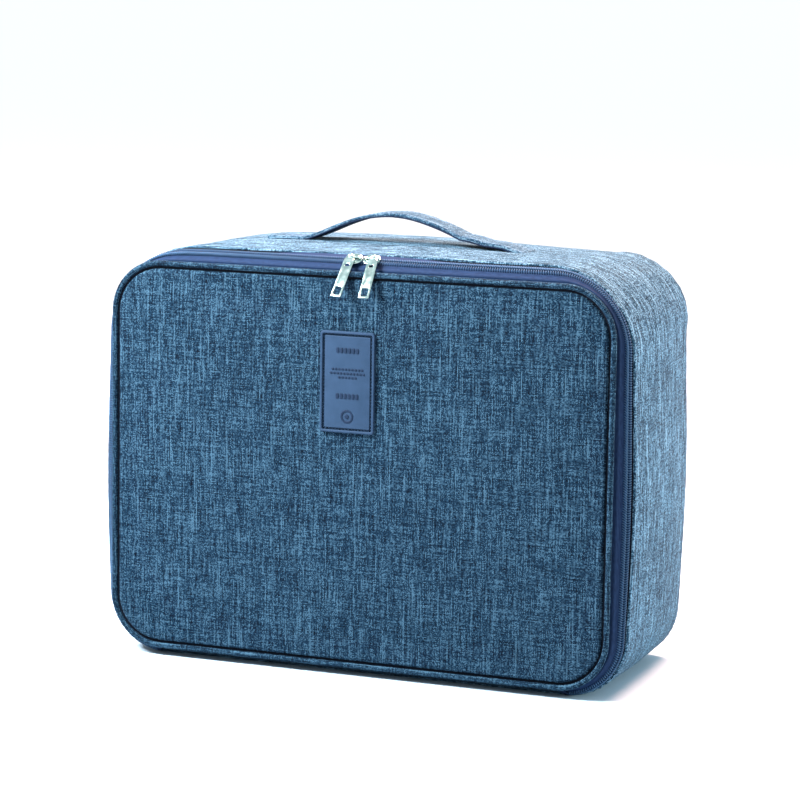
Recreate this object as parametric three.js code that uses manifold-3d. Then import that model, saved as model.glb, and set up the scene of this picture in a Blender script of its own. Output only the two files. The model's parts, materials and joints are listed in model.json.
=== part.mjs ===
// Box-shaped fabric shoe bag: a soft shell, a piped front lid hinged along its bottom edge,
// a two-slider zipper round the other three edges, and a carry strap on top.
// Millimetres, +Z up. The front faces -Y. The origin is the bottom centre of the bounding box.

import * as THREE from 'three';
import Module from 'manifold-3d';
import { mergeVertices } from 'three/addons/utils/BufferGeometryUtils.js';

const wasm = await Module();
wasm.setup();

// ---------------------------------------------------------------- driving dimensions

const BODY_DEPTH = 156; // from the plane of the piping to the back panel
const BAND_DEPTH = 13.4; // how far the zipper band runs back from the piping to the gusset's fold

// Outlines around the bag, seen from the front: the piping, the gusset's front fold and its back end.
const PANEL_RIM = { width: 364.8, low: 7.6, high: 280.4, topRadius: 35, bottomRadius: 35 };
const FOLD_RIM = { width: 388, low: 0, high: 293, topRadius: 61, bottomRadius: 43 };
const BACK_RIM = { width: 381, low: 0, high: 291, topRadius: 52, bottomRadius: 38 };

const CLEARANCE = 0.3; // between pieces that touch on the real bag
const PIPING_RADIUS = 2;
const FABRIC = 0.9; // coated polyester oxford
const FOAM = 3.5;
const LINING = 0.5;
const BINDING = 1.2;

const COIL_HALF_GAP = 0.6; // from the middle of the zipper to each row of coil
const COIL_HALF_WIDTH = 2.5;
const COIL_THICKNESS = 2;
const TAPE_THICKNESS = 0.8;
const ZIPPER_END_ANGLE = 34; // measured along each lower corner, from its lowest point
const END_TAB_ANGLE = 22;

const SLIDER_LENGTH = 12.3;
const SLIDER_WIDTH = 9.2;
const SLIDER_PLATE = 1.2;
const SLIDER_PIVOT_HEIGHT = 4.6; // of the bail's bar over the middle of the coil
const BAIL_BAR = 1.1;
const PULL_SHIFT = 1.9; // the pull hangs this far from the slider's middle, away from the other slider

const PULL_LENGTH = 33; // from the pivot to the tip
const PULL_WIDTH = 7.6;
const PULL_THICKNESS = 1;
const PULL_BORE = 1.1;
const PULL_ROLL = 1.7;
const PULL_ROLL_WIDTH = 4;
const PULL_WINDOW = { width: 4.6, length: 6.4 };
const PULL_LEAN = 38.4; // forward from straight down, clear of the piping
const PULL_TILTS = { left: 4.5, right: -2 }; // sideways, towards -X

const HANDLE_WIDTH = 25;
const HANDLE_THICKNESS = 3.2;
const HANDLE_HALF_LENGTH = 97;
const HANDLE_HALF_SPAN = 70; // where the strap leaves the top
const HANDLE_RISE = 21;
const HANDLE_HALF_MOVING = 52; // the arch between these places leans to and fro

const PATCH = { width: 40, height: 70, x: -5.8, z: 206.3, thickness: 1.5, corner: 2 };
const POCKET = { halfWidth: 166, low: 22, high: 165 };

const CORNER_STEPS = 8;

// ---------------------------------------------------------------- materials

function finish(color, roughness, metalness = 0) {
  return new THREE.MeshStandardMaterial({ color, roughness, metalness });
}

const heather = finish(0x3f6f9c, 0.9);
const gussetHeather = finish(0x6f9cc2, 0.9);
const navyTape = finish(0x3b4b80, 0.85);
const navyCoil = finish(0x4a5a92, 0.5);
const silver = finish(0xc9d1d6, 0.22, 1);
const patchRubber = finish(0x5a76a5, 0.6);
const foam = finish(0xe8e8e4, 0.95);
const lining = finish(0x2f4668, 0.8);
const mesh = finish(0x26364f, 0.8);

// ---------------------------------------------------------------- outlines and swept bands

function mixRims(from, to, t) {
  const mix = (key) => from[key] + (to[key] - from[key]) * t;
  return {
    width: mix('width'),
    low: mix('low'),
    high: mix('high'),
    topRadius: mix('topRadius'),
    bottomRadius: mix('bottomRadius'),
  };
}

function growRim(rim, by) {
  return {
    width: rim.width + 2 * by,
    low: rim.low - by,
    high: rim.high + by,
    topRadius: rim.topRadius + by,
    bottomRadius: rim.bottomRadius + by,
  };
}

// A station is an angle round the outline, anticlockwise seen from the front, with the corner it is on:
// 0 top right, 1 top left, 2 bottom left, 3 bottom right.
function cornerStations(corner, from = 0, to = 90) {
  const stations = [];
  for (let i = 0; i <= CORNER_STEPS; i += 1) {
    stations.push({ corner, angle: corner * 90 + from + ((to - from) * i) / CORNER_STEPS });
  }
  return stations;
}

const ALL_ROUND = [0, 1, 2, 3].flatMap((corner) => cornerStations(corner));
const SEAM_ANGLE = 0.5; // half the gap between the gusset and the base, where they are sewn
const TOP_AND_SIDES = [
  ...cornerStations(3, SEAM_ANGLE, 90),
  ...cornerStations(0),
  ...cornerStations(1),
  ...cornerStations(2, 0, 90 - SEAM_ANGLE),
];
const BASE_RUN = [{ corner: 2, angle: 270 }, { corner: 3, angle: 270 }];
const ZIPPER_RUN = [
  ...cornerStations(3, ZIPPER_END_ANGLE, 90),
  ...cornerStations(0),
  ...cornerStations(1),
  ...cornerStations(2, 0, 90 - ZIPPER_END_ANGLE),
];

function rimPoint(rim, { corner, angle }) {
  const right = corner === 0 || corner === 3;
  const top = corner < 2;
  const radius = top ? rim.topRadius : rim.bottomRadius;
  const centreX = (right ? 1 : -1) * (rim.width / 2 - radius);
  const centreZ = top ? rim.high - radius : rim.low + radius;
  const turn = THREE.MathUtils.degToRad(angle);
  return [centreX + radius * Math.cos(turn), centreZ + radius * Math.sin(turn)];
}

// Turns a shell's faces outwards, whichever way round it was built.
function outward(geometry) {
  const position = geometry.getAttribute('position');
  const index = geometry.getIndex();
  const [a, b, c] = [new THREE.Vector3(), new THREE.Vector3(), new THREE.Vector3()];
  let volume = 0;
  for (let i = 0; i < index.count; i += 3) {
    a.fromBufferAttribute(position, index.getX(i));
    b.fromBufferAttribute(position, index.getX(i + 1));
    c.fromBufferAttribute(position, index.getX(i + 2));
    volume += a.dot(b.cross(c));
  }
  if (volume < 0) {
    for (let i = 0; i < index.count; i += 3) {
      const first = index.getX(i);
      index.setX(i, index.getX(i + 1));
      index.setX(i + 1, first);
    }
  }
  return geometry;
}

// Sweeps a closed section, a list of { rim, y }, round the bag. An open run gets flat ends.
function sweptBand(section, stations, closed) {
  const count = section.length;
  const vertices = [];
  for (const station of stations) {
    for (const { rim, y } of section) {
      const [x, z] = rimPoint(rim, station);
      vertices.push(x, y, z);
    }
  }
  const triangles = [];
  const runs = closed ? stations.length : stations.length - 1;
  for (let i = 0; i < runs; i += 1) {
    const here = i * count;
    const next = ((i + 1) % stations.length) * count;
    for (let j = 0; j < count; j += 1) {
      const k = (j + 1) % count;
      triangles.push(here + j, next + j, next + k, here + j, next + k, here + k);
    }
  }
  if (!closed) {
    const flat = section.map(({ rim, y }) => new THREE.Vector2(rim.high, y));
    const faces = THREE.ShapeUtils.triangulateShape(flat, []);
    const reversed = THREE.ShapeUtils.isClockWise(flat);
    const last = (stations.length - 1) * count;
    for (const [p, q, r] of faces) {
      if (reversed) {
        triangles.push(q, p, r, last + p, last + q, last + r);
      } else {
        triangles.push(p, q, r, last + q, last + p, last + r);
      }
    }
  }
  const geometry = new THREE.BufferGeometry();
  geometry.setAttribute('position', new THREE.Float32BufferAttribute(vertices, 3));
  geometry.setIndex(triangles);
  return outward(geometry);
}

// ---------------------------------------------------------------- the sloping zipper band

const TOP_SLOPE = Math.atan2(FOLD_RIM.high - PANEL_RIM.high, BAND_DEPTH);
const SLOPE_LENGTH = Math.hypot(FOLD_RIM.high - PANEL_RIM.high, BAND_DEPTH);
const COIL_CENTRE = SLOPE_LENGTH * 0.65; // along the slope, from the piping

// A point of the band: how far along the slope from the piping, and how high over the band.
function bandRim(along, lift = 0) {
  const t = along / SLOPE_LENGTH;
  return {
    rim: growRim(mixRims(PANEL_RIM, FOLD_RIM, t), lift * Math.cos(TOP_SLOPE)),
    y: BAND_DEPTH * t - lift * Math.sin(TOP_SLOPE),
  };
}

function bandStrip(from, to, thickness, stations, middle = 0) {
  const [low, high] = [middle - thickness / 2, middle + thickness / 2];
  const section = [bandRim(from, low), bandRim(to, low), bandRim(to, high), bandRim(from, high)];
  return sweptBand(section, stations, false);
}

const LID_COIL_START = COIL_CENTRE - COIL_HALF_GAP - COIL_HALF_WIDTH;
const BODY_COIL_END = COIL_CENTRE + COIL_HALF_GAP + COIL_HALF_WIDTH;
const BAND_START = PIPING_RADIUS + 0.5;
const BAND_END = SLOPE_LENGTH - CLEARANCE;

// ---------------------------------------------------------------- the shell's walls

function wallRim(y) {
  return mixRims(FOLD_RIM, BACK_RIM, (y - BAND_DEPTH) / (BODY_DEPTH - BAND_DEPTH));
}

// A wall layer between two depths under the outer face. The back end rolls in towards the back panel.
const BACK_ROLL = [
  { y: BODY_DEPTH - 9, inset: 0 },
  { y: BODY_DEPTH - 4.5, inset: 2 },
  { y: BODY_DEPTH - 1.6, inset: 6 },
];

function wallLayer(outer, inner, front, stations, closed, back = BACK_ROLL) {
  const rows = [{ y: front, inset: 0 }, ...back];
  const outside = rows.map(({ y, inset }) => ({ rim: growRim(wallRim(y), -outer - inset), y }));
  const inside = rows.map(({ y, inset }) => ({ rim: growRim(wallRim(y), -inner - inset), y: y - 0.4 }));
  inside[0].y = front;
  return sweptBand([...outside, ...inside.reverse()], stations, closed);
}

function board(stations) {
  const outer = FABRIC + CLEARANCE;
  const front = BAND_DEPTH + 2;
  const back = [{ y: BODY_DEPTH - 12, inset: 0 }];
  return wallLayer(outer, outer + FOAM, front, stations, false, back);
}

// ---------------------------------------------------------------- flat panels

function rimShape(rim) {
  const { width, low, high, topRadius, bottomRadius } = rim;
  const shape = new THREE.Shape();
  shape.absarc(width / 2 - topRadius, high - topRadius, topRadius, 0, Math.PI / 2);
  shape.absarc(topRadius - width / 2, high - topRadius, topRadius, Math.PI / 2, Math.PI);
  shape.absarc(bottomRadius - width / 2, low + bottomRadius, bottomRadius, Math.PI, 1.5 * Math.PI);
  shape.absarc(width / 2 - bottomRadius, low + bottomRadius, bottomRadius, 1.5 * Math.PI, 2 * Math.PI);
  return shape;
}

// Extrudes a shape drawn in X and Z between two depths in Y.
function panel(shape, front, back) {
  const options = { depth: back - front, bevelEnabled: false, curveSegments: CORNER_STEPS };
  const geometry = new THREE.ExtrudeGeometry(shape, options);
  return geometry.rotateX(Math.PI / 2).translate(0, back, 0);
}

function roundedRim(x, z, width, height, radius) {
  const shape = new THREE.Shape();
  const [left, right, low, high] = [x - width / 2, x + width / 2, z - height / 2, z + height / 2];
  shape.absarc(right - radius, high - radius, radius, 0, Math.PI / 2);
  shape.absarc(left + radius, high - radius, radius, Math.PI / 2, Math.PI);
  shape.absarc(left + radius, low + radius, radius, Math.PI, 1.5 * Math.PI);
  shape.absarc(right - radius, low + radius, radius, 1.5 * Math.PI, 2 * Math.PI);
  return shape;
}

// ---------------------------------------------------------------- booleans

function toSolid(geometry) {
  const bare = geometry.clone();
  bare.deleteAttribute('normal');
  bare.deleteAttribute('uv');
  const merged = mergeVertices(bare, 1e-4);
  return new wasm.Manifold(new wasm.Mesh({
    numProp: 3,
    vertProperties: new Float32Array(merged.getAttribute('position').array),
    triVerts: new Uint32Array(merged.getIndex().array),
  }));
}

function toGeometry(solid) {
  const { vertProperties, triVerts } = solid.getMesh();
  const geometry = new THREE.BufferGeometry();
  geometry.setAttribute('position', new THREE.BufferAttribute(new Float32Array(vertProperties), 3));
  geometry.setIndex(new THREE.BufferAttribute(new Uint32Array(triVerts), 1));
  return geometry;
}

function union(...geometries) {
  return toGeometry(geometries.map(toSolid).reduce((joined, solid) => joined.add(solid)));
}

function cut(geometry, ...tools) {
  return toGeometry(tools.map(toSolid).reduce((solid, tool) => solid.subtract(tool), toSolid(geometry)));
}

function block(x0, x1, y0, y1, z0, z1) {
  const geometry = new THREE.BoxGeometry(x1 - x0, y1 - y0, z1 - z0);
  return geometry.translate((x0 + x1) / 2, (y0 + y1) / 2, (z0 + z1) / 2);
}

// ---------------------------------------------------------------- assembly

const bag = new THREE.Group();

function add(name, geometry, material, parent = bag) {
  const piece = new THREE.Mesh(geometry, material);
  piece.name = name;
  parent.add(piece);
  return piece;
}

// ---------------------------------------------------------------- lid

const LID_FACE = -1.6;

function pipingGeometry() {
  const sides = 8;
  const section = [];
  for (let i = 0; i < sides; i += 1) {
    const turn = (i / sides) * 2 * Math.PI;
    const rim = growRim(PANEL_RIM, PIPING_RADIUS * Math.cos(turn));
    section.push({ rim, y: PIPING_RADIUS * Math.sin(turn) });
  }
  return sweptBand(section, ALL_ROUND, true);
}

function lidBindingGeometry(front) {
  const outer = growRim(PANEL_RIM, -4);
  const inner = growRim(PANEL_RIM, -12);
  const back = front + BINDING;
  const section = [
    { rim: outer, y: front },
    { rim: inner, y: front },
    { rim: inner, y: back },
    { rim: outer, y: back },
  ];
  return sweptBand(section, ALL_ROUND, true);
}

function addLid() {
  const foamFront = LID_FACE + FABRIC + CLEARANCE;
  const liningFront = foamFront + FOAM + CLEARANCE;
  const bindingFront = liningFront + LINING + CLEARANCE;
  const pocketFront = bindingFront + BINDING + CLEARANCE;
  const { halfWidth, low, high } = POCKET;
  const outlineOf = (inset) => rimShape(growRim(PANEL_RIM, -inset));

  add('lid_front_fabric', panel(outlineOf(PIPING_RADIUS + 0.4), LID_FACE, LID_FACE + FABRIC), heather);
  add('lid_foam_board', panel(outlineOf(4), foamFront, foamFront + FOAM), foam);
  add('lid_lining', panel(outlineOf(3.5), liningFront, liningFront + LINING), lining);
  add('lid_piping', pipingGeometry(), heather);
  add('lid_seam_binding', lidBindingGeometry(bindingFront), navyTape);
  const netShape = roundedRim(0, (low + high) / 2, 2 * halfWidth, high - low, 20);
  add('lid_mesh_pocket', panel(netShape, pocketFront, pocketFront + LINING), mesh);
  const hemRow = block(-halfWidth, halfWidth, pocketFront, pocketFront + 1, high + CLEARANCE, high + 8);
  add('pocket_edge_binding', hemRow, navyTape);

  const tape = bandStrip(BAND_START, LID_COIL_START - CLEARANCE, TAPE_THICKNESS, ZIPPER_RUN);
  add('lid_zipper_tape', tape, navyTape);
  const coil = bandStrip(LID_COIL_START, COIL_CENTRE - COIL_HALF_GAP, COIL_THICKNESS, ZIPPER_RUN);
  add('lid_zipper_coil', coil, navyCoil);
}

function addPatch() {
  const back = LID_FACE - CLEARANCE;
  const front = back - PATCH.thickness;
  const { x, z, width, height, corner } = PATCH;
  const plate = panel(roundedRim(x, z, width, height, corner), front, back);
  const recess = panel(roundedRim(x, z, width - 4, height - 4, 1), front - 1, front + 0.4);
  add('label_patch', cut(plate, recess), patchRubber);
}

// ---------------------------------------------------------------- shell

function addWalls() {
  const front = BAND_DEPTH + CLEARANCE;
  add('gusset_fabric', wallLayer(0, FABRIC, front, TOP_AND_SIDES, false), gussetHeather);
  add('base_fabric', wallLayer(0, FABRIC, front, BASE_RUN, false), gussetHeather);

  add('top_foam_board', board([{ corner: 0, angle: 90 }, { corner: 1, angle: 90 }]), foam);
  add('left_foam_board', board([{ corner: 1, angle: 180 }, { corner: 2, angle: 180 }]), foam);
  add('right_foam_board', board([{ corner: 3, angle: 360 }, { corner: 0, angle: 0 }]), foam);
  add('base_foam_board', board(BASE_RUN), foam);

  const liningOuter = FABRIC + FOAM + 2 * CLEARANCE;
  const liningBack = [{ y: BODY_DEPTH - 11, inset: 0 }];
  const liningWall = wallLayer(
    liningOuter, liningOuter + LINING, BAND_DEPTH + 2, ALL_ROUND, true, liningBack,
  );
  add('gusset_lining', liningWall, lining);
  const bindingOuter = liningOuter + LINING + CLEARANCE;
  const bindingBack = [{ y: BAND_DEPTH + 10, inset: 0 }];
  const frontBinding = wallLayer(
    bindingOuter, bindingOuter + BINDING, BAND_DEPTH + 2, ALL_ROUND, true, bindingBack,
  );
  add('front_seam_binding', frontBinding, navyTape);
}

function addBack() {
  const outline = (inset) => rimShape(growRim(BACK_RIM, -inset));
  const fabricFront = BODY_DEPTH - FABRIC;
  const foamFront = fabricFront - CLEARANCE - FOAM;
  const liningFront = foamFront - CLEARANCE - LINING;
  add('back_panel_fabric', panel(outline(8.6), fabricFront, BODY_DEPTH), gussetHeather);
  add('back_foam_board', panel(outline(9), foamFront, foamFront + FOAM), foam);
  add('back_lining', panel(outline(6.6), liningFront, liningFront + LINING), lining);
  const bindingBack = liningFront - CLEARANCE;
  const outer = growRim(BACK_RIM, -7);
  const inner = growRim(BACK_RIM, -15);
  const section = [
    { rim: outer, y: bindingBack - BINDING },
    { rim: inner, y: bindingBack - BINDING },
    { rim: inner, y: bindingBack },
    { rim: outer, y: bindingBack },
  ];
  add('back_seam_binding', sweptBand(section, ALL_ROUND, true), navyTape);
}

function addBodyZipper() {
  const coil = bandStrip(COIL_CENTRE + COIL_HALF_GAP, BODY_COIL_END, COIL_THICKNESS, ZIPPER_RUN);
  add('body_zipper_coil', coil, navyCoil);
  const tape = bandStrip(BODY_COIL_END + CLEARANCE, BAND_END, TAPE_THICKNESS, ZIPPER_RUN);
  add('body_zipper_tape', tape, navyTape);

  const gapAngle = 0.6;
  const tabTop = ZIPPER_END_ANGLE - gapAngle;
  const tabLow = END_TAB_ANGLE + gapAngle;
  const rightTab = bandStrip(BAND_START, BAND_END, BINDING, cornerStations(3, tabLow, tabTop));
  add('zipper_end_tab_right', rightTab, navyTape);
  const leftTab = bandStrip(BAND_START, BAND_END, BINDING, cornerStations(2, 90 - tabTop, 90 - tabLow));
  add('zipper_end_tab_left', leftTab, navyTape);
  const stripRun = [...cornerStations(2, 90 - END_TAB_ANGLE, 90), ...cornerStations(3, 0, END_TAB_ANGLE)];
  const strip = bandStrip(BAND_START, BAND_END - FABRIC, FABRIC, stripRun, -FABRIC / 2);
  add('hinge_strip', strip, heather);
}

// ---------------------------------------------------------------- sliders and pulls

// Drawn in the band's own frame: X along the zipper, Y up the slope, Z off the band.
// "outwardX" is the side that the slider runs towards, away from the other slider.
function sliderBody(outwardX) {
  const near = CLEARANCE;
  const far = near + SLIDER_LENGTH;
  const topLow = COIL_THICKNESS / 2 + CLEARANCE;
  const shape = new THREE.Shape();
  const half = SLIDER_WIDTH / 2;
  const bend = 3;
  shape.absarc(far - bend, half - bend, bend, 0, Math.PI / 2);
  shape.absarc(near + bend, half - bend, bend, Math.PI / 2, Math.PI);
  shape.absarc(near + bend, bend - half, bend, Math.PI, 1.5 * Math.PI);
  shape.absarc(far - bend, bend - half, bend, 1.5 * Math.PI, 2 * Math.PI);
  const options = { depth: SLIDER_PLATE, bevelEnabled: false, curveSegments: 5 };
  const topPlate = new THREE.ExtrudeGeometry(shape, options).translate(0, 0, topLow);
  const post = block(near + 2, near + 6, -0.3, 0.3, -topLow - SLIDER_PLATE / 2, topLow + SLIDER_PLATE / 2);
  const lowPlate = block(near + 1, far - 1, 1 - half, 0.3, -topLow - SLIDER_PLATE, -topLow);
  const body = union(topPlate, post, lowPlate);
  return outwardX > 0 ? body : mirrored(body);
}

function mirrored(geometry) {
  const flipped = geometry.clone().scale(-1, 1, 1);
  return outward(flipped);
}

const BAIL_LOW = COIL_THICKNESS / 2 + CLEARANCE + SLIDER_PLATE + CLEARANCE;
const BAIL_TOP = SLIDER_PIVOT_HEIGHT + BAIL_BAR / 2;
const BAIL_CENTRE = CLEARANCE + SLIDER_LENGTH / 2;
const BAIL_HALF_LENGTH = 5.5;

function bailGeometry(outwardX) {
  const leg = 1.2;
  const low = BAIL_LOW;
  const under = SLIDER_PIVOT_HEIGHT - BAIL_BAR / 2;
  const reach = BAIL_HALF_LENGTH;
  const shape = new THREE.Shape([
    new THREE.Vector2(-reach, low),
    new THREE.Vector2(leg - reach, low),
    new THREE.Vector2(leg - reach, under),
    new THREE.Vector2(reach - leg, under),
    new THREE.Vector2(reach - leg, low),
    new THREE.Vector2(reach, low),
    new THREE.Vector2(reach, BAIL_TOP - 0.5),
    new THREE.Vector2(reach - 0.5, BAIL_TOP),
    new THREE.Vector2(0.5 - reach, BAIL_TOP),
    new THREE.Vector2(-reach, BAIL_TOP - 0.5),
  ]);
  return panel(shape, -BAIL_BAR / 2, BAIL_BAR / 2).translate(outwardX * BAIL_CENTRE, 0, 0);
}

// Drawn hanging straight down from the pivot, its face to -Y.
function pullGeometry() {
  const plateTop = -PULL_BORE - 0.2;
  const half = PULL_WIDTH / 2;
  const plate = new THREE.Shape([
    new THREE.Vector2(-PULL_ROLL_WIDTH / 2, plateTop),
    new THREE.Vector2(-half, plateTop - 2),
    new THREE.Vector2(-half, -PULL_LENGTH),
    new THREE.Vector2(half, -PULL_LENGTH),
    new THREE.Vector2(half, plateTop - 2),
    new THREE.Vector2(PULL_ROLL_WIDTH / 2, plateTop),
  ]);
  const windowLow = 1.6 - PULL_LENGTH;
  const rectangle = (halfWidth, low, high) => new THREE.Path([
    new THREE.Vector2(-halfWidth, low),
    new THREE.Vector2(halfWidth, low),
    new THREE.Vector2(halfWidth, high),
    new THREE.Vector2(-halfWidth, high),
  ]);
  plate.holes.push(rectangle(PULL_WINDOW.width / 2, windowLow, windowLow + PULL_WINDOW.length));
  plate.holes.push(rectangle(1.4, plateTop - 7, plateTop - 5));
  const blade = panel(plate, -PULL_THICKNESS / 2, PULL_THICKNESS / 2);
  const roll = new THREE.CylinderGeometry(PULL_ROLL, PULL_ROLL, PULL_ROLL_WIDTH, 16);
  const bore = new THREE.CylinderGeometry(PULL_BORE, PULL_BORE, 3 * PULL_ROLL_WIDTH, 16);
  return cut(union(blade, roll.rotateZ(Math.PI / 2)), bore.rotateZ(Math.PI / 2));
}

function addSlider(side, outwardX) {
  const group = new THREE.Group();
  const along = COIL_CENTRE / SLOPE_LENGTH;
  const coilZ = PANEL_RIM.high + (FOLD_RIM.high - PANEL_RIM.high) * along;
  group.position.set(0, BAND_DEPTH * along, coilZ);
  group.rotation.x = TOP_SLOPE;
  bag.add(group);
  add(`slider_body_${side}`, sliderBody(outwardX), silver, group);
  add(`slider_bail_${side}`, bailGeometry(outwardX), silver, group);

  const pull = new THREE.Group();
  pull.position.set(outwardX * (BAIL_CENTRE + PULL_SHIFT), 0, SLIDER_PIVOT_HEIGHT);
  pull.rotation.x = -THREE.MathUtils.degToRad(PULL_LEAN) - TOP_SLOPE;
  group.add(pull);
  const tab = add(`pull_tab_${side}`, pullGeometry(), silver, pull);
  tab.rotation.y = THREE.MathUtils.degToRad(PULL_TILTS[side]);
}

// ---------------------------------------------------------------- handle

const TOP_Z = wallRim(BODY_DEPTH / 2).high;
const HANDLE_SEAT = TOP_Z + CLEARANCE + 0.5 + HANDLE_THICKNESS / 2;

function handleHeight(x) {
  const reach = Math.min(1, Math.abs(x) / HANDLE_HALF_SPAN);
  return HANDLE_SEAT + HANDLE_RISE * (1 - reach * reach) ** 1.3;
}

// A stretch of the strap between two places along X.
function strapStretch(from, to, thickness, width, steps) {
  const upper = [];
  const lower = [];
  for (let i = 0; i <= steps; i += 1) {
    const x = from + ((to - from) * i) / steps;
    upper.push(new THREE.Vector2(x, handleHeight(x) + thickness / 2));
    lower.push(new THREE.Vector2(x, handleHeight(x) - thickness / 2));
  }
  const shape = new THREE.Shape([...lower, ...upper.reverse()]);
  const middle = BODY_DEPTH / 2;
  return panel(shape, middle - width / 2, middle + width / 2);
}

function addHandle() {
  const reach = HANDLE_HALF_MOVING;
  const sleeve = strapStretch(-reach, reach, HANDLE_THICKNESS, HANDLE_WIDTH, 20);
  const channel = strapStretch(-reach * 1.1, reach * 1.1, 2, HANDLE_WIDTH - 2, 22);
  add('handle_sleeve', cut(sleeve, channel), heather);
  add('handle_webbing', strapStretch(-reach, reach, 1.4, HANDLE_WIDTH - 3, 20), navyTape);
  const start = reach + CLEARANCE;
  const right = strapStretch(start, HANDLE_HALF_LENGTH, HANDLE_THICKNESS, HANDLE_WIDTH, 12);
  add('handle_end_right', right, heather);
  const left = strapStretch(-HANDLE_HALF_LENGTH, -start, HANDLE_THICKNESS, HANDLE_WIDTH, 12);
  add('handle_end_left', left, heather);
}

addLid();
addPatch();
addWalls();
addBack();
addBodyZipper();
addSlider('left', -1);
addSlider('right', 1);
addHandle();

// The origin goes to the bottom centre of the bounding box.
bag.updateMatrixWorld(true);
const extent = new THREE.Box3().setFromObject(bag, true);
const middle = extent.getCenter(new THREE.Vector3());
bag.position.set(-middle.x, -middle.y, -extent.min.z);

export default bag;
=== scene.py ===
"""The looks of a box-shaped fabric shoe bag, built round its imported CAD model.

Shapes are worked out in the bag's own millimetres: x across, y back from the plane of the piping,
z up from the base. build_mesh() turns them into metres in the CAD model's frame.
"""

import json
import math

import bmesh
import bpy
import numpy as np
from mathutils import Matrix, Vector, noise


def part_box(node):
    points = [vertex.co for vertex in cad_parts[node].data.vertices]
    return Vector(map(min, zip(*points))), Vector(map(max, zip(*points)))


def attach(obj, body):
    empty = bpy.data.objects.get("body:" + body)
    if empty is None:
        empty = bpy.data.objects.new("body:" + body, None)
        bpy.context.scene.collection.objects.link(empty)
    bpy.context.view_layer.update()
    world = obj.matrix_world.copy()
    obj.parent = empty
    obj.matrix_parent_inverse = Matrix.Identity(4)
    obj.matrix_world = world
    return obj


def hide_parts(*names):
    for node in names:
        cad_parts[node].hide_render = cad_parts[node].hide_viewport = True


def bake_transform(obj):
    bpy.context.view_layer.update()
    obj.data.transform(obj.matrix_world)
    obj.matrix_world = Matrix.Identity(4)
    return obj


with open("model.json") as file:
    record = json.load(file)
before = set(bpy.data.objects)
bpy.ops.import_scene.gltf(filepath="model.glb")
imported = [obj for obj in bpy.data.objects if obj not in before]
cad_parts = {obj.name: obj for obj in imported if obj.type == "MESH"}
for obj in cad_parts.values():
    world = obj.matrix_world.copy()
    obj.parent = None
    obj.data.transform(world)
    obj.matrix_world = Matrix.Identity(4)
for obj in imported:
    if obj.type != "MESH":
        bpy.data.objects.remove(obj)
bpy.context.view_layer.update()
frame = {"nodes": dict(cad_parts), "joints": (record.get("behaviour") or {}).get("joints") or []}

MM = 0.001
SCENE = bpy.context.scene


# ------------------------------------------------------------------ small helpers

def clamp(value):
    return min(1, max(0, value))


def ease(value, size=1.0):
    """A smooth step from 0, where the value is 0 or less, to the size, where it is 1 or more."""
    t = clamp(value)
    return size * t * t * (3 - 2 * t)


def wave(x, y, z, size, seed=0.0):
    """Smooth noise from -1 to 1, with features of about the given size in millimetres."""
    return noise.noise(Vector((x / size + seed, y / size - seed, z / size + 2 * seed)))


def arc_lengths(points, closed=False):
    """Distance along a polyline at each point, and once more round to the start if it is closed."""
    ring = np.vstack([points, points[:1]]) if closed else points
    steps = np.linalg.norm(np.diff(ring, axis=0), axis=1)
    return np.concatenate([[0], np.cumsum(steps)])


# ------------------------------------------------------------------ sizes, from the frame

class Rim:
    """An outline round the bag: a rounded rectangle whose sides may bow outwards."""

    def __init__(self, width, low, high, top_radius, bottom_radius, bow=0.0):
        self.width, self.low, self.high = width, low, high
        self.top_radius, self.bottom_radius, self.bow = top_radius, bottom_radius, bow

    def values(self):
        return np.array([self.width, self.low, self.high, self.top_radius, self.bottom_radius, self.bow])

    def mix(self, other, t):
        return Rim(*(self.values() * (1 - t) + other.values() * t))

    def grow(self, by):
        top = max(self.top_radius + by, 0.5)
        bottom = max(self.bottom_radius + by, 0.5)
        return Rim(self.width + 2 * by, self.low - by, self.high + by, top, bottom, self.bow)

    def half_height(self):
        return (self.high - self.low) / 2


PIPING_LOW, PIPING_HIGH = (np.array(point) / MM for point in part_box("lid_piping"))
PIPING_RADIUS = (PIPING_HIGH[1] - PIPING_LOW[1]) / 2
PLANE_Y = (PIPING_HIGH[1] + PIPING_LOW[1]) / 2


def cad_box(node):
    """The low and high corners of a CAD node's box, in the bag's millimetres."""
    return [np.array(point) / MM - [0, PLANE_Y, 0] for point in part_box(node)]


GUSSET_LOW, GUSSET_HIGH = cad_box("gusset_fabric")
BACK_LOW, BACK_HIGH = cad_box("back_panel_fabric")
LAYER_GAP = 0.3
BAND_DEPTH = GUSSET_LOW[1] - LAYER_GAP
DEPTH = BACK_HIGH[1]
BACK_INSET = 8.6
FABRIC = 0.9

PANEL = Rim(PIPING_HIGH[0] - PIPING_LOW[0] - 2 * PIPING_RADIUS,
            PIPING_LOW[2] + PIPING_RADIUS, PIPING_HIGH[2] - PIPING_RADIUS, 35, 35)
FOLD = Rim(GUSSET_HIGH[0] - GUSSET_LOW[0], GUSSET_LOW[2], GUSSET_HIGH[2], 61, 43, 2.4)
BACK = Rim(BACK_HIGH[0] - BACK_LOW[0] + 2 * BACK_INSET,
           BACK_LOW[2] - BACK_INSET, BACK_HIGH[2] + BACK_INSET, 52, 38, 2.6)

SLOPE = math.atan2(FOLD.high - PANEL.high, BAND_DEPTH)
SLOPE_LENGTH = math.hypot(FOLD.high - PANEL.high, BAND_DEPTH)
COIL_CENTRE = SLOPE_LENGTH * 0.65
COIL_HALF = 2.8


# ------------------------------------------------------------------ stations round an outline

CORNER_STEPS = 18
EDGE_STEP = 6.0


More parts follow.
